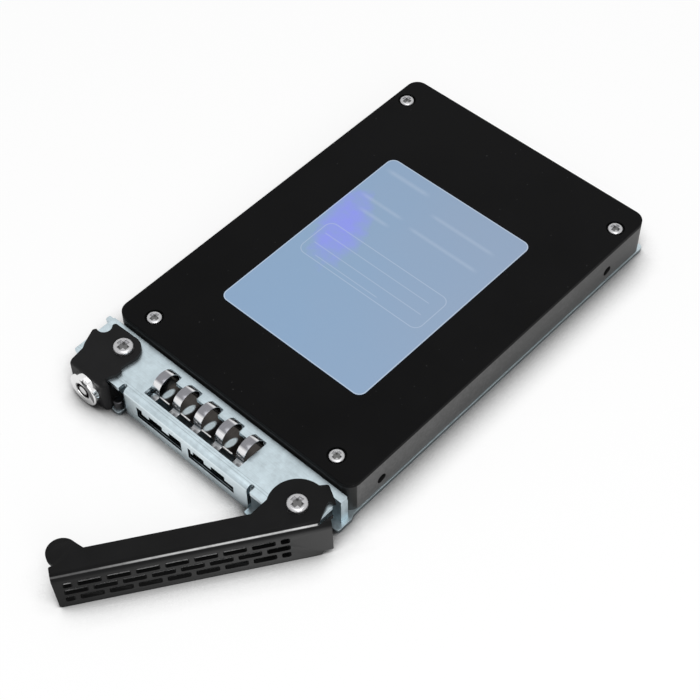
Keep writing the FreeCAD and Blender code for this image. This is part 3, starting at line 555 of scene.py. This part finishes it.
# %% A small builder for node trees
class Tree:
    """A Geometry Nodes tree with named inputs, built by calls."""

    def __init__(self, name, sizes):
        self.group = bpy.data.node_groups.new(name, "GeometryNodeTree")
        self.sizes = sizes
        self.ids = {}
        self.group.interface.new_socket("Geometry", in_out="OUTPUT", socket_type="NodeSocketGeometry")
        for key, value in sizes.items():
            kind = "NodeSocketInt" if isinstance(value, int) else "NodeSocketFloat"
            socket = self.group.interface.new_socket(key, in_out="INPUT", socket_type=kind)
            self.ids[key] = socket.identifier
        self.inputs = self.group.nodes.new("NodeGroupInput")

    def feed(self, socket, value):
        """Join an output to a socket, or set a constant on it."""
        if isinstance(value, bpy.types.NodeSocket):
            self.group.links.new(value, socket)
        else:
            socket.default_value = value

    def node(self, kind, settings=None, **inputs):
        """Add a node and give back its first output; a list joins several to one input."""
        made = self.group.nodes.new(kind)
        for key, value in (settings or {}).items():
            setattr(made, key, value)
        for key, value in inputs.items():
            for each in value if isinstance(value, list) else [value]:
                self.feed(made.inputs[key.replace("_", " ")], each)
        return made.outputs[0]

    def size(self, key):
        return self.inputs.outputs[key]

    def point(self, x=0.0, y=0.0, z=0.0):
        return self.node("ShaderNodeCombineXYZ", X=x, Y=y, Z=z)

    def math(self, operation, first, second):
        made = self.group.nodes.new("ShaderNodeMath")
        made.operation = operation
        self.feed(made.inputs[0], first)
        self.feed(made.inputs[1], second)
        return made.outputs[0]

    def sweep(self, paths, profile):
        return self.node("GeometryNodeCurveToMesh", Curve=paths, Profile_Curve=profile, Fill_Caps=True)

    def bezier(self, start, middle, end):
        return self.node("GeometryNodeCurveQuadraticBezier", Resolution=14, Start=start, Middle=middle,
                         End=end)

    def stand(self, geometry, place):
        """Turn what is drawn flat, so that its X runs along Y and its Y up, and move it to a place."""
        return self.node("GeometryNodeTransform", Geometry=geometry, Translation=place,
                         Rotation=(math.pi / 2, 0.0, math.pi / 2))

    def mesh(self, name, geometry, material):
        """Finish the tree, run it and give back a plain mesh object."""
        last = self.group.nodes.new("NodeGroupOutput")
        realized = self.node("GeometryNodeRealizeInstances", Geometry=geometry)
        painted = self.node("GeometryNodeSetMaterial", Geometry=realized, Material=material)
        self.group.links.new(painted, last.inputs[0])
        carrier = bpy.data.objects.new(name, bpy.data.meshes.new(name + "_start"))
        bpy.context.scene.collection.objects.link(carrier)
        modifier = carrier.modifiers.new(name, "NODES")
        modifier.node_group = self.group
        for key, value in self.sizes.items():
            modifier[self.ids[key]] = value
        bpy.context.view_layer.update()
        evaluated = carrier.evaluated_get(bpy.context.evaluated_depsgraph_get())
        made = bpy.data.meshes.new_from_object(evaluated)
        carrier.modifiers.remove(modifier)
        carrier.data = made
        made.name = name
        print(f"{name}: {len(made.polygons)} faces")
        return carrier


# %% [markdown]
# The springs are polished metal.  Their light and shade are painted on by place: a painted reflection,
# pale at the front of the arch and grey at its crest, and painted shade, dark inside, where the ribbon
# curls under and on the foot under the plate.  The material finds them from the angle round the arch and
# from the side of the ribbon that faces out.  Being painted, they are the same from every side.

# %% Polished spring steel
CREST_ANGLE = 1.72
CREST_REACH = 0.56

polish = Finish("spring_steel")
polish_x, arch_y, arch_z = polish.axes(polish.place(centre=(finger_first, arch_middle, arch_base)))
turn = arch_z.math("ARCTAN2", arch_y)
normal = polish.node("ShaderNodeNewGeometry", {}, output="Normal")
_, normal_y, normal_z = polish.axes(normal)
span = (arch_y * arch_y + arch_z * arch_z).math("SQRT")
outward = (arch_y * normal_y + arch_z * normal_z) / span
inside = outward.below(-0.2, 0.5) * span.below(3.4, 0.4)
crest = abs(turn - CREST_ANGLE).below(CREST_REACH, 0.2)
streak = polish.noise(polish.place(stretch=(6.0, 0.5, 0.5)), 1.0, 3.0)
# Painted reflection: pale at the front of the arch, grey at its crest.
steel = polish.blend(crest * 0.95, colour(0.84, 0.84, 0.85), colour(0.17, 0.17, 0.19))
# Painted shade where the ribbon curls under.
curl = turn.above(2.95, 0.2).largest(turn.below(-2.0, 0.3)) * span.below(3.6, 0.3)
steel = polish.blend(curl * 0.8, steel, colour(0.06, 0.06, 0.065))
steel = polish.blend(streak * 0.3, steel, colour(0.45, 0.45, 0.47))
# Painted shade on the foot under the plate.
foot = arch_z.below(-0.6, 0.3)
steel = polish.blend(foot * 0.8, steel, colour(0.22, 0.23, 0.24))

# %% [markdown]
# A web joins the fingers under the plate.  Its dark colour is painted shade, but for a pale eye beside
# each finger, painted light, and a bright front edge, a painted highlight.  Both are painted and not
# metallic, so they stay pale whatever is around them.  The eye is an ellipse that repeats with the fingers:
# the place across is cut down to one pitch by taking what is left after whole fingers.

# %% The web's eyes
WEB_FRONT = -2.3
WEB_DROP = -2.75
WEB_SHADE = colour(0.030, 0.028, 0.026)
EYE_OFFSET = 0.35
EYE_PLACE = -0.45
EYE_LENGTH = 1.6
EYE_LEAN = 0.5

pitch = finger_pitch / MM
web_zone = arch_z.below(-0.75, 0.2) * arch_y.above(WEB_FRONT - 0.2, 0.1)
beside = ((polish_x / pitch + EYE_OFFSET).math("FRACT") - 0.5) * pitch
eye_y = (arch_y - EYE_PLACE - beside * EYE_LEAN) / EYE_LENGTH
eye = (beside * beside * 1.2 + eye_y * eye_y).below(0.8, 0.6)
web_lip_highlight = arch_y.below(WEB_FRONT + 0.25, 0.1) * abs(beside - 0.6).below(1.5, 0.2)
# Painted shade: the web under the plate is dark.
web_steel = polish.blend(streak * arch_y.above(0.2, 1.5), WEB_SHADE, colour(0.08, 0.073, 0.068))
# Painted light: a pale eye beside each finger.
web_steel = polish.blend(eye, web_steel, colour(0.62, 0.72, 0.76))
# Painted highlight along the web's front edge.
web_steel = polish.blend(web_lip_highlight, web_steel, colour(0.95, 0.95, 0.95))
steel = polish.blend(web_zone, steel, web_steel)
# Painted shade: dark inside the arch.
polish.set(Base_Color=polish.blend(inside * (1 - web_zone), steel, colour(0.02, 0.02, 0.02)),
           Metallic=1 - web_zone * eye.largest(web_lip_highlight), Roughness=0.22 + (streak - 0.5) * 0.14)
polish.bump(streak, 0.15, 0.01)

# %% [markdown]
# One finger is two paths in a flat drawing, its arch and its foot, swept with a rounded rectangle.  The
# arch is a piece of a circle that is stretched to half the span and the rise.  The finger is then stood up
# and repeated on a line of points.

# %% Sweep one finger and repeat it
def smooth(mesh):
    """Shade a mesh smooth up to its sharp edges."""
    for polygon in mesh.polygons:
        polygon.use_smooth = True
    mesh.set_sharp_from_angle(angle=math.radians(35))


springs = Tree("spring_fingers", {
    "Count": FINGERS, "Pitch": finger_pitch, "Finger Width": FINGER_W, "Thickness": RIBBON_T,
    "Half Span": ARCH_SPAN / 2, "Rise": arch_rise, "Rail Length": RAIL_L})
profile = springs.node("GeometryNodeCurvePrimitiveQuadrilateral", Width=springs.size("Thickness"),
                       Height=springs.size("Finger Width"))
profile = springs.node("GeometryNodeFilletCurve", {"mode": "POLY"}, Curve=profile, Count=2,
                       Radius=0.08 * MM)
arch = springs.node("GeometryNodeCurveArc", Resolution=44, Radius=1.0,
                    Start_Angle=math.radians(-13), Sweep_Angle=math.radians(212))
arch = springs.node("GeometryNodeTransform", Geometry=arch,
                    Scale=springs.point(springs.size("Half Span"), springs.size("Rise"), 1.0))
heel = -ARCH_SPAN / 2
toe = spring_low.y - arch_middle
foot_path = springs.bezier((heel + 0.12 * MM, -0.92 * MM, 0.0), (heel - 0.5 * MM, -1.75 * MM, 0.0),
                           (toe + 0.1 * MM, -0.72 * MM, 0.0))
ribbon = springs.sweep(springs.node("GeometryNodeJoinGeometry", Geometry=[arch, foot_path]), profile)
row = springs.node("GeometryNodeMeshLine", Count=springs.size("Count"),
                   Start_Location=(finger_first, 0.0, 0.0), Offset=springs.point(springs.size("Pitch")))
finger = springs.stand(ribbon, (0.0, arch_middle, arch_base))
fingers = springs.node("GeometryNodeInstanceOnPoints", Points=row, Instance=finger)

# %% [markdown]
# The rail is a flat bar behind the fingers.  The web is one wide ribbon that drops from the rail and runs
# forward under all of them.  Both are as wide as the row of fingers and its two ends.

# %% Add the rail and the web
strip_w = springs.math("MULTIPLY", springs.size("Pitch"), FINGERS - 1.0)
strip_w = springs.math("ADD", strip_w, 2 * RAIL_SIDE)
strip_x = (spring_low.x + spring_high.x) / 2
rail_size = springs.point(strip_w, springs.size("Rail Length"), springs.size("Thickness"))
rail = springs.node("GeometryNodeTransform", Geometry=springs.node("GeometryNodeMeshCube", Size=rail_size),
                    Translation=(strip_x, spring_high.y - RAIL_L / 2, plate_under - RIBBON_T / 2))
web_path = springs.bezier((ARCH_SPAN / 2, -0.62 * MM, 0.0), (ARCH_SPAN / 2 - 0.3 * MM, WEB_DROP * MM, 0.0),
                          (WEB_FRONT * MM, WEB_DROP * MM, 0.0))
web_profile = springs.node("GeometryNodeCurvePrimitiveQuadrilateral", Width=springs.size("Thickness"),
                           Height=strip_w)
web = springs.stand(springs.sweep(web_path, web_profile), (strip_x, arch_middle, arch_base))
whole = springs.node("GeometryNodeJoinGeometry", Geometry=[fingers, rail, web])
spring_strip = springs.mesh("spring_strip", whole, polish.material)
smooth(spring_strip.data)
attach(spring_strip, "carrier")
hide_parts("shield_springs")

# %% The lock's clip
clip_steel, _ = plated_metal("clip_steel", (0.70, 0.71, 0.73), 0.25, 0.006, edge_mm=0.05)
coat(["lock_clip"], clip_steel)

# %% [markdown]
# ## Screws, rivets and the lock
#
# The small fasteners are nickel plated steel with a fine grain.  The driving recess of a screw is painted
# dark, a painted shade, so each kind of screw knows the height of its head: what lies under the head's top
# turns dark.
# The lock is chromed.  Its keyway is a deep ring, painted black, a painted shade.

# %% Turned metal
NICKEL = (0.62, 0.62, 0.63)
WORN_NICKEL = (0.52, 0.52, 0.53)


def turned_metal(name, tint, rough, grain_mm, height, edge_mm=0.08):
    """Plated, machined metal with a fine grain, and its colour with worn, darker patches."""
    metal = Finish(name, Metallic=1.0)
    here = metal.place()
    cloud = metal.noise(here, 0.8, 3.0)
    grain = metal.noise(here, 1 / grain_mm, 2.0, 0.6)
    patchy = colour(*(value * 0.82 for value in tint))
    metal.set(Roughness=rough + (cloud - 0.5) * 0.2 + (grain - 0.5) * 0.08)
    metal.bump(grain, 0.3, height, edge_mm)
    return metal, metal.blend(cloud, patchy, colour(*tint))


def plain_screws(name, names):
    """Fasteners whose heads show no recess."""
    metal, face = turned_metal(name, NICKEL, 0.3, 0.12, 0.02)
    metal.set(Base_Color=face)
    coat(names, metal)


def recessed_screws(name, names, recess_mm, depth_mm):
    """Screws whose driving recess, within a radius of each axis, is painted dark below the head's top, a
    painted shade.
    """
    metal, face = turned_metal(name, WORN_NICKEL, 0.3, 0.12, 0.02)
    top = corners(names[0])[1].z
    _, _, down = metal.axes(metal.place(centre=(0.0, 0.0, top)))
    hollow = None
    for each in names:
        low, high = corners(each)
        x, y, _ = metal.axes(metal.place(centre=tuple((low + high) / 2)))
        near = (x * x + y * y).math("SQRT").below(recess_mm, 0.1)
        hollow = near if hollow is None else hollow.largest(near)
    hollow = hollow * down.below(-depth_mm, 0.12)
    # Painted shade in the driving recess.
    metal.set(Base_Color=metal.blend(hollow, face, colour(0.16, 0.16, 0.16)))
    coat(names, metal)


recessed_screws("cover_screw_nickel", family("cover_screw"), 0.85, 0.2)
recessed_screws("pivot_screw_nickel", ["handle_screw", "latch_screw"], 1.1, 0.3)
plain_screws("fastener_nickel", ["handle_nut", "latch_nut", "lock_cam"]
             + family("board_screw") + family("mounting_screw") + family("bracket_rivet"))

# %% The stop pin
# The stop pin is painted near black, a painted shade for the dark gap between the latch and the bracket
# where it sits.
pin_shade, _ = turned_metal("stop_pin_shade", (0.05, 0.05, 0.05), 0.3, 0.12, 0.01)
pin_shade.set(Base_Color=colour(0.045, 0.045, 0.048))
coat(["latch_stop_pin"], pin_shade)

# %% [markdown]
# The lock's round nose is chromed, with a dark crescent painted at its upper right, a painted reflection
# of the dark latch beside it.  The barrel behind the nose, inside the latch, is painted as dark, a painted
# shade.

# %% The lock's housing
LOCK_NOSE = 1.6
CRESCENT_START = 2.3
CRESCENT_REACH = 3.75
CHROME_SHADE_AND_REFLECTION = colour(0.04, 0.04, 0.042)
lock_low, lock_high = corners("lock_housing")
chrome, chrome_face = turned_metal("lock_chrome", (0.88, 0.88, 0.88), 0.14, 0.2, 0.004)
lock_middle = (lock_low + lock_high) / 2
chrome_x, chrome_y, chrome_z = chrome.axes(chrome.place(centre=(lock_middle.x, lock_low.y, lock_middle.z)))
barrel = chrome_y.above(LOCK_NOSE, 0.1)
face_r = (chrome_x * chrome_x + chrome_z * chrome_z).math("SQRT")
crescent = (chrome_x + chrome_z * 0.7).above(CRESCENT_START, 0.5) * face_r.below(CRESCENT_REACH, 0.15)
crescent = crescent * chrome_y.below(0.4, 0.2)
# Painted shade on the barrel and a painted reflection in the crescent.
painted_dark_chrome = barrel.largest(crescent * 0.92)
chrome.set(Base_Color=chrome.blend(painted_dark_chrome, chrome_face, CHROME_SHADE_AND_REFLECTION))
coat(["lock_housing"], chrome)

# %% The lock's keyway
KEYWAY_IN = 1.1
KEYWAY_OUT = 1.95
core_low, core_high = corners("lock_core")
core_middle = (core_low + core_high) / 2
plug, plug_face = turned_metal("lock_plug", (0.86, 0.86, 0.86), 0.16, 0.2, 0.006)
plug_x, _, plug_z = plug.axes(plug.place(centre=(core_middle.x, core_low.y, core_middle.z)))
ring = (plug_x * plug_x + plug_z * plug_z).math("SQRT")
keyway = ring.above(KEYWAY_IN - 0.05, 0.08) * ring.below(KEYWAY_OUT + 0.1, 0.08)
# Painted shade: the keyway ring turns black.
plug.set(Base_Color=plug.blend(keyway, plug_face, colour(0.006, 0.006, 0.006)))
coat(["lock_core"], plug)

# %% [markdown]
# ## The painted handle and latch
#
# The handle and the latch share one black paint.  A thin painted highlight runs along the handle's bend,
# and the perforated flange is painted lighter, painted light, more and more towards the hinge.  Both are
# found in the handle's own axes: the distance along it, the depth across it and the height, measured from
# the hinge and turned by the angle at which it stands.  The walls of the flange's slots are painted near
# black, a painted shade.

# %% Handle and latch paint
HANDLE_ANGLE = math.radians(55.8)
BEND_MIDDLE = -5.2
BEND_R = 1.6
LEAN = math.radians(9.5)
HIGHLIGHT_HALF = 0.14
HIGHLIGHT_START = -34.0
HIGHLIGHT_GROWS = 18.0
HIGHLIGHT_END = 3.0
FLANGE_BACK = -4.7
FLANGE_LIGHT_START = -52.0
FLANGE_LIGHT_GROWS = 58.0


def hinged_paint(name, top_base):
    """The shared black paint, dark on top, with its place measured from the handle's hinge."""
    paint = Finish(name, Specular_IOR_Level=0.06)
    at = paint.place(centre=tuple(joint_place["handle_swing"]), turn=HANDLE_ANGLE)
    grain = paint.noise(at, 5.0, 2.0, 0.6)
    cloud = paint.noise(at, 0.16, 3.0)
    dark = colour(*(value * 0.75 for value in top_base))
    light = colour(*(value * 1.25 for value in top_base))
    paint.set(Roughness=0.42 + (cloud - 0.5) * 0.14 + (grain - 0.5) * 0.1)
    paint.bump(grain, 0.3, 0.03, 0.12)
    return paint, at, paint.blend(cloud, dark, light)


grip, grip_at, grip_body = hinged_paint("grip_paint", (0.0085, 0.0085, 0.0088))
reach, depth, height = grip.axes(grip_at)
handle_top = corners("cam_handle")[1].z / MM
bend = abs(depth - BEND_MIDDLE).below(HIGHLIGHT_HALF, 0.14) * height.above(handle_top - 1.0, 0.3)
patchy = grip.noise(grip_at, 0.5, 3.0).above(0.35, 0.5) * 0.5 + 0.5
# Painted highlight along the bend, broken up by noise.
bend_highlight = bend * patchy * (reach.above(HIGHLIGHT_START, HIGHLIGHT_GROWS) * 0.8 + 0.2) * reach.below(HIGHLIGHT_END, 0.6)
flange = height.below(handle_top - BEND_R, 1.2) * depth.below(FLANGE_BACK, 0.4)
outward = Euler((0.0, 0.0, HANDLE_ANGLE)).to_matrix() @ Vector((0.0, -math.cos(LEAN), math.sin(LEAN)))
facing = grip.node("ShaderNodeNewGeometry", {}, output="True Normal")
facing = grip.node("ShaderNodeVectorTransform", {"vector_type": "NORMAL", "convert_from": "WORLD",
                                                 "convert_to": "OBJECT"}, [facing])
squareness = grip.node("ShaderNodeVectorMath", {"operation": "DOT_PRODUCT"}, [facing, tuple(outward)],
                       output="Value")
slot_wall = abs(squareness).below(0.5, 0.2)
# Painted light: the flange grows lighter towards the hinge.
flange_light_and_shade = grip.blend(((reach - FLANGE_LIGHT_START) / FLANGE_LIGHT_GROWS).clamp(), colour(0.014, 0.014, 0.014),
                    colour(0.062, 0.062, 0.062))
# Painted shade: the walls of the slots turn near black.
flange_light_and_shade = grip.blend(slot_wall, flange_light_and_shade, colour(0.003, 0.003, 0.003))
grip.set(Base_Color=grip.blend(bend_highlight, grip.blend(flange, grip_body, flange_light_and_shade), colour(0.60, 0.60, 0.60)))

# %% [markdown]
# The handle's round lobe is a flat disc that would stand a little proud of the bend beside it.  On the
# real part the lobe runs into the bend, so the visible handle is the CAD handle with that sliver cut away:
# the cutter is the space outside the bend, drawn as its arc and swept past the lobe.

# %% Trim the lobe to the bend
BEND_CENTRE = (-4.15, handle_top - BEND_R)
WALL_ANGLE = 170.5
LOBE_REACH = 6.6
CUTTER_STEPS = 16
CUTTER_SKIN = 0.01
CUTTER_DEPTH = 4.0
CUTTER_OVER = 1.0


def bend_cutter():
    """The space in front of and above the bend, as a closed mesh in the handle's place."""
    turn = Euler((0.0, 0.0, HANDLE_ANGLE)).to_matrix()
    middle, base = BEND_CENTRE
    outline = []
    for step in range(CUTTER_STEPS + 1):
        angle = math.radians(90 + (WALL_ANGLE - 90) * step / CUTTER_STEPS)
        outline.append((middle + (BEND_R + CUTTER_SKIN) * math.cos(angle),
                        base + (BEND_R + CUTTER_SKIN) * math.sin(angle)))
    outline += [(middle - CUTTER_DEPTH, base), (middle - CUTTER_DEPTH, handle_top + CUTTER_OVER),
                (middle, handle_top + CUTTER_OVER)]
    hinge = joint_place["handle_swing"]
    points = [turn @ (Vector((along, across, 0.0)) * MM) + Vector((hinge.x, hinge.y, up * MM))
              for along in (-LOBE_REACH, LOBE_REACH) for across, up in outline]
    count = len(outline)
    sides = [(i, (i + 1) % count, count + (i + 1) % count, count + i) for i in range(count)]
    mesh = bpy.data.meshes.new("bend_cutter")
    mesh.from_pydata([tuple(point) for point in points], [],
                     sides + [tuple(range(count))[::-1], tuple(range(count, 2 * count))])
    solid = bmesh.new()
    solid.from_mesh(mesh)
    bmesh.ops.recalc_face_normals(solid, faces=solid.faces)
    solid.to_mesh(mesh)
    solid.free()
    return bpy.data.objects.new("bend_cutter", mesh)


cutter = bend_cutter()
bpy.context.scene.collection.objects.link(cutter)
lever = bpy.data.objects.new("lever", nodes["cam_handle"].data.copy())
bpy.context.scene.collection.objects.link(lever)
trim = lever.modifiers.new("trim", "BOOLEAN")
trim.operation = "DIFFERENCE"
trim.object = cutter
bpy.context.view_layer.update()
lever_mesh = bpy.data.meshes.new_from_object(lever.evaluated_get(bpy.context.evaluated_depsgraph_get()))
lever.modifiers.remove(trim)
lever.data = lever_mesh
bpy.data.objects.remove(cutter)
lever_mesh.materials.clear()
lever_mesh.materials.append(grip.material)
smooth(lever_mesh)
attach(lever, "handle")
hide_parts("cam_handle")
print("lever:", len(lever_mesh.polygons), "faces")

# %% The latch's paint
latch_paint, _, latch_body = hinged_paint("latch_paint", (0.013, 0.013, 0.0135))
latch_paint.set(Base_Color=latch_body)
coat(["latch_bracket"], latch_paint)

# %% [markdown]
# ## Inside the drive
#
# The board, its chips and the connector are closed in by the lid.  They still get finishes, because
# the model can be taken apart: green solder mask with faint tracks, moulded black packages and gold.

# %% Board, packages, connector and contacts
mask = Finish("solder_mask", Roughness=0.4, Coat_Weight=0.3)
mask_at = mask.place()
board_x, board_y, _ = mask.axes(mask_at)
track = abs((board_x * 1.25).math("FRACT") - 0.5).below(0.12, 0.06)
track = track.largest(abs((board_y * 0.8).math("FRACT") - 0.5).below(0.08, 0.05))
mask.set(Base_Color=mask.blend(track * 0.4, colour(0.008, 0.085, 0.035), colour(0.02, 0.16, 0.07)))
mask.bump(track, 0.2, 0.03)
coat(["drive_board"], mask)


def moulded(name, base, grain_mm):
    """Moulded plastic with a fine sparked grain."""
    plastic = Finish(name)
    here = plastic.place()
    grain = plastic.noise(here, 1 / grain_mm, 2.0)
    plastic.set(Base_Color=plastic.blend(grain, colour(*(value * 0.8 for value in base)), colour(*base)),
                Roughness=0.55 + (grain - 0.5) * 0.2)
    plastic.bump(grain, 0.3, 0.03, 0.06)
    return plastic


coat(family("memory_chip") + ["controller_chip"], moulded("chip_resin", (0.022, 0.022, 0.023), 0.2))
coat(["connector_housing"], moulded("connector_plastic", (0.014, 0.014, 0.015), 0.3))
gold, gold_face = turned_metal("contact_gold", (0.92, 0.68, 0.30), 0.2, 0.3, 0.005)
gold.set(Base_Color=gold_face)
coat(["connector_contacts"], gold)

# %% [markdown]
# ## Floor, backdrop and light
#
# A product shot wants white all round and soft shadows.  The world shows white to the camera, to
# reflections and to light that passes through glass, while it lights the scene at half that strength, so
# that the lamps can shape it.  The floor is white paper that glows to the camera for the same reason.  Near
# the object its colour and its glow are painted dark by ambient occlusion, a painted contact shadow.  One
# large lamp stands at the front right and a wider one overhead.

# %% World
WORLD_FILL = 0.5
world = bpy.data.worlds.new("studio")
bpy.context.scene.world = world
world.use_nodes = True
studio = Shading(world.node_tree)
background = studio.tree.nodes["Background"]
studio.feed(background.inputs["Color"], colour(1.0, 1.0, 1.0))
studio.feed(background.inputs["Strength"], studio.looked_at() * (1 - WORLD_FILL) + WORLD_FILL)
print("world strength:", WORLD_FILL, "as light, 1.0 as seen")

# %% Floor
FLOOR_REACH = 3.0
FLOOR_GLOW = 0.82
CONTACT_REACH = 0.012
CONTACT_DARK = 0.45
CONTACT_SOFT = 0.42

floor_mesh = bpy.data.meshes.new("floor")
ends = (-FLOOR_REACH, FLOOR_REACH)
floor_corners = [(x, y, cad_low.z) for x, y in ((ends[0], ends[0]), (ends[1], ends[0]),
                                                (ends[1], ends[1]), (ends[0], ends[1]))]
floor_mesh.from_pydata(floor_corners, [], [(0, 1, 2, 3)])
floor = bpy.data.objects.new("floor", floor_mesh)
bpy.context.scene.collection.objects.link(floor)

paper = Finish("floor_paper", Roughness=0.9, Specular_IOR_Level=0.0)
openness = paper.node("ShaderNodeAmbientOcclusion", {"samples": 8}, {"Distance": CONTACT_REACH},
                      output="AO")
# Painted contact shadow: the paper's colour and glow fall to near black where ambient occlusion finds the
# object.
open_floor = ((openness - CONTACT_DARK) / CONTACT_SOFT).clamp()
paper.set(Base_Color=paper.blend(open_floor, colour(0.03, 0.03, 0.03), colour(0.99, 0.99, 0.99)))
glow = paper.node("ShaderNodeEmission", {}, {"Color": colour(1.0, 1.0, 1.0), "Strength": 1.0})
lit = Wire(paper, paper.surface.outputs["BSDF"])
share = paper.looked_at() * FLOOR_GLOW * open_floor * open_floor
mixed = paper.node("ShaderNodeMixShader", {}, [share, lit, glow])
paper.tree.links.new(mixed.socket, paper.tree.nodes["Material Output"].inputs["Surface"])
floor_mesh.materials.append(paper.material)
floor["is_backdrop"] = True

# %% Lamps
def soft_lamp(name, direction, distance, size, power):
    """A square lamp that faces the middle of the object."""
    lamp_data = bpy.data.lights.new(name, "AREA")
    lamp_data.size = size
    lamp_data.energy = power
    lamp = bpy.data.objects.new(name, lamp_data)
    aim = (cad_low + cad_high) / 2
    lamp.location = aim + Vector(direction).normalized() * distance
    lamp.rotation_euler = (lamp.location - aim).to_track_quat("Z", "Y").to_euler()
    bpy.context.scene.collection.objects.link(lamp)
    print(f"{name}: {power} W, {size} m wide, {distance} m away")


soft_lamp("front_right_lamp", (0.70, -0.41, 0.58), 0.7, 0.35, 1.5)
soft_lamp("overhead_lamp", (0.25, -0.2, 1.0), 0.9, 0.8, 3.2)
bpy.context.scene.view_settings.view_transform = "Standard"
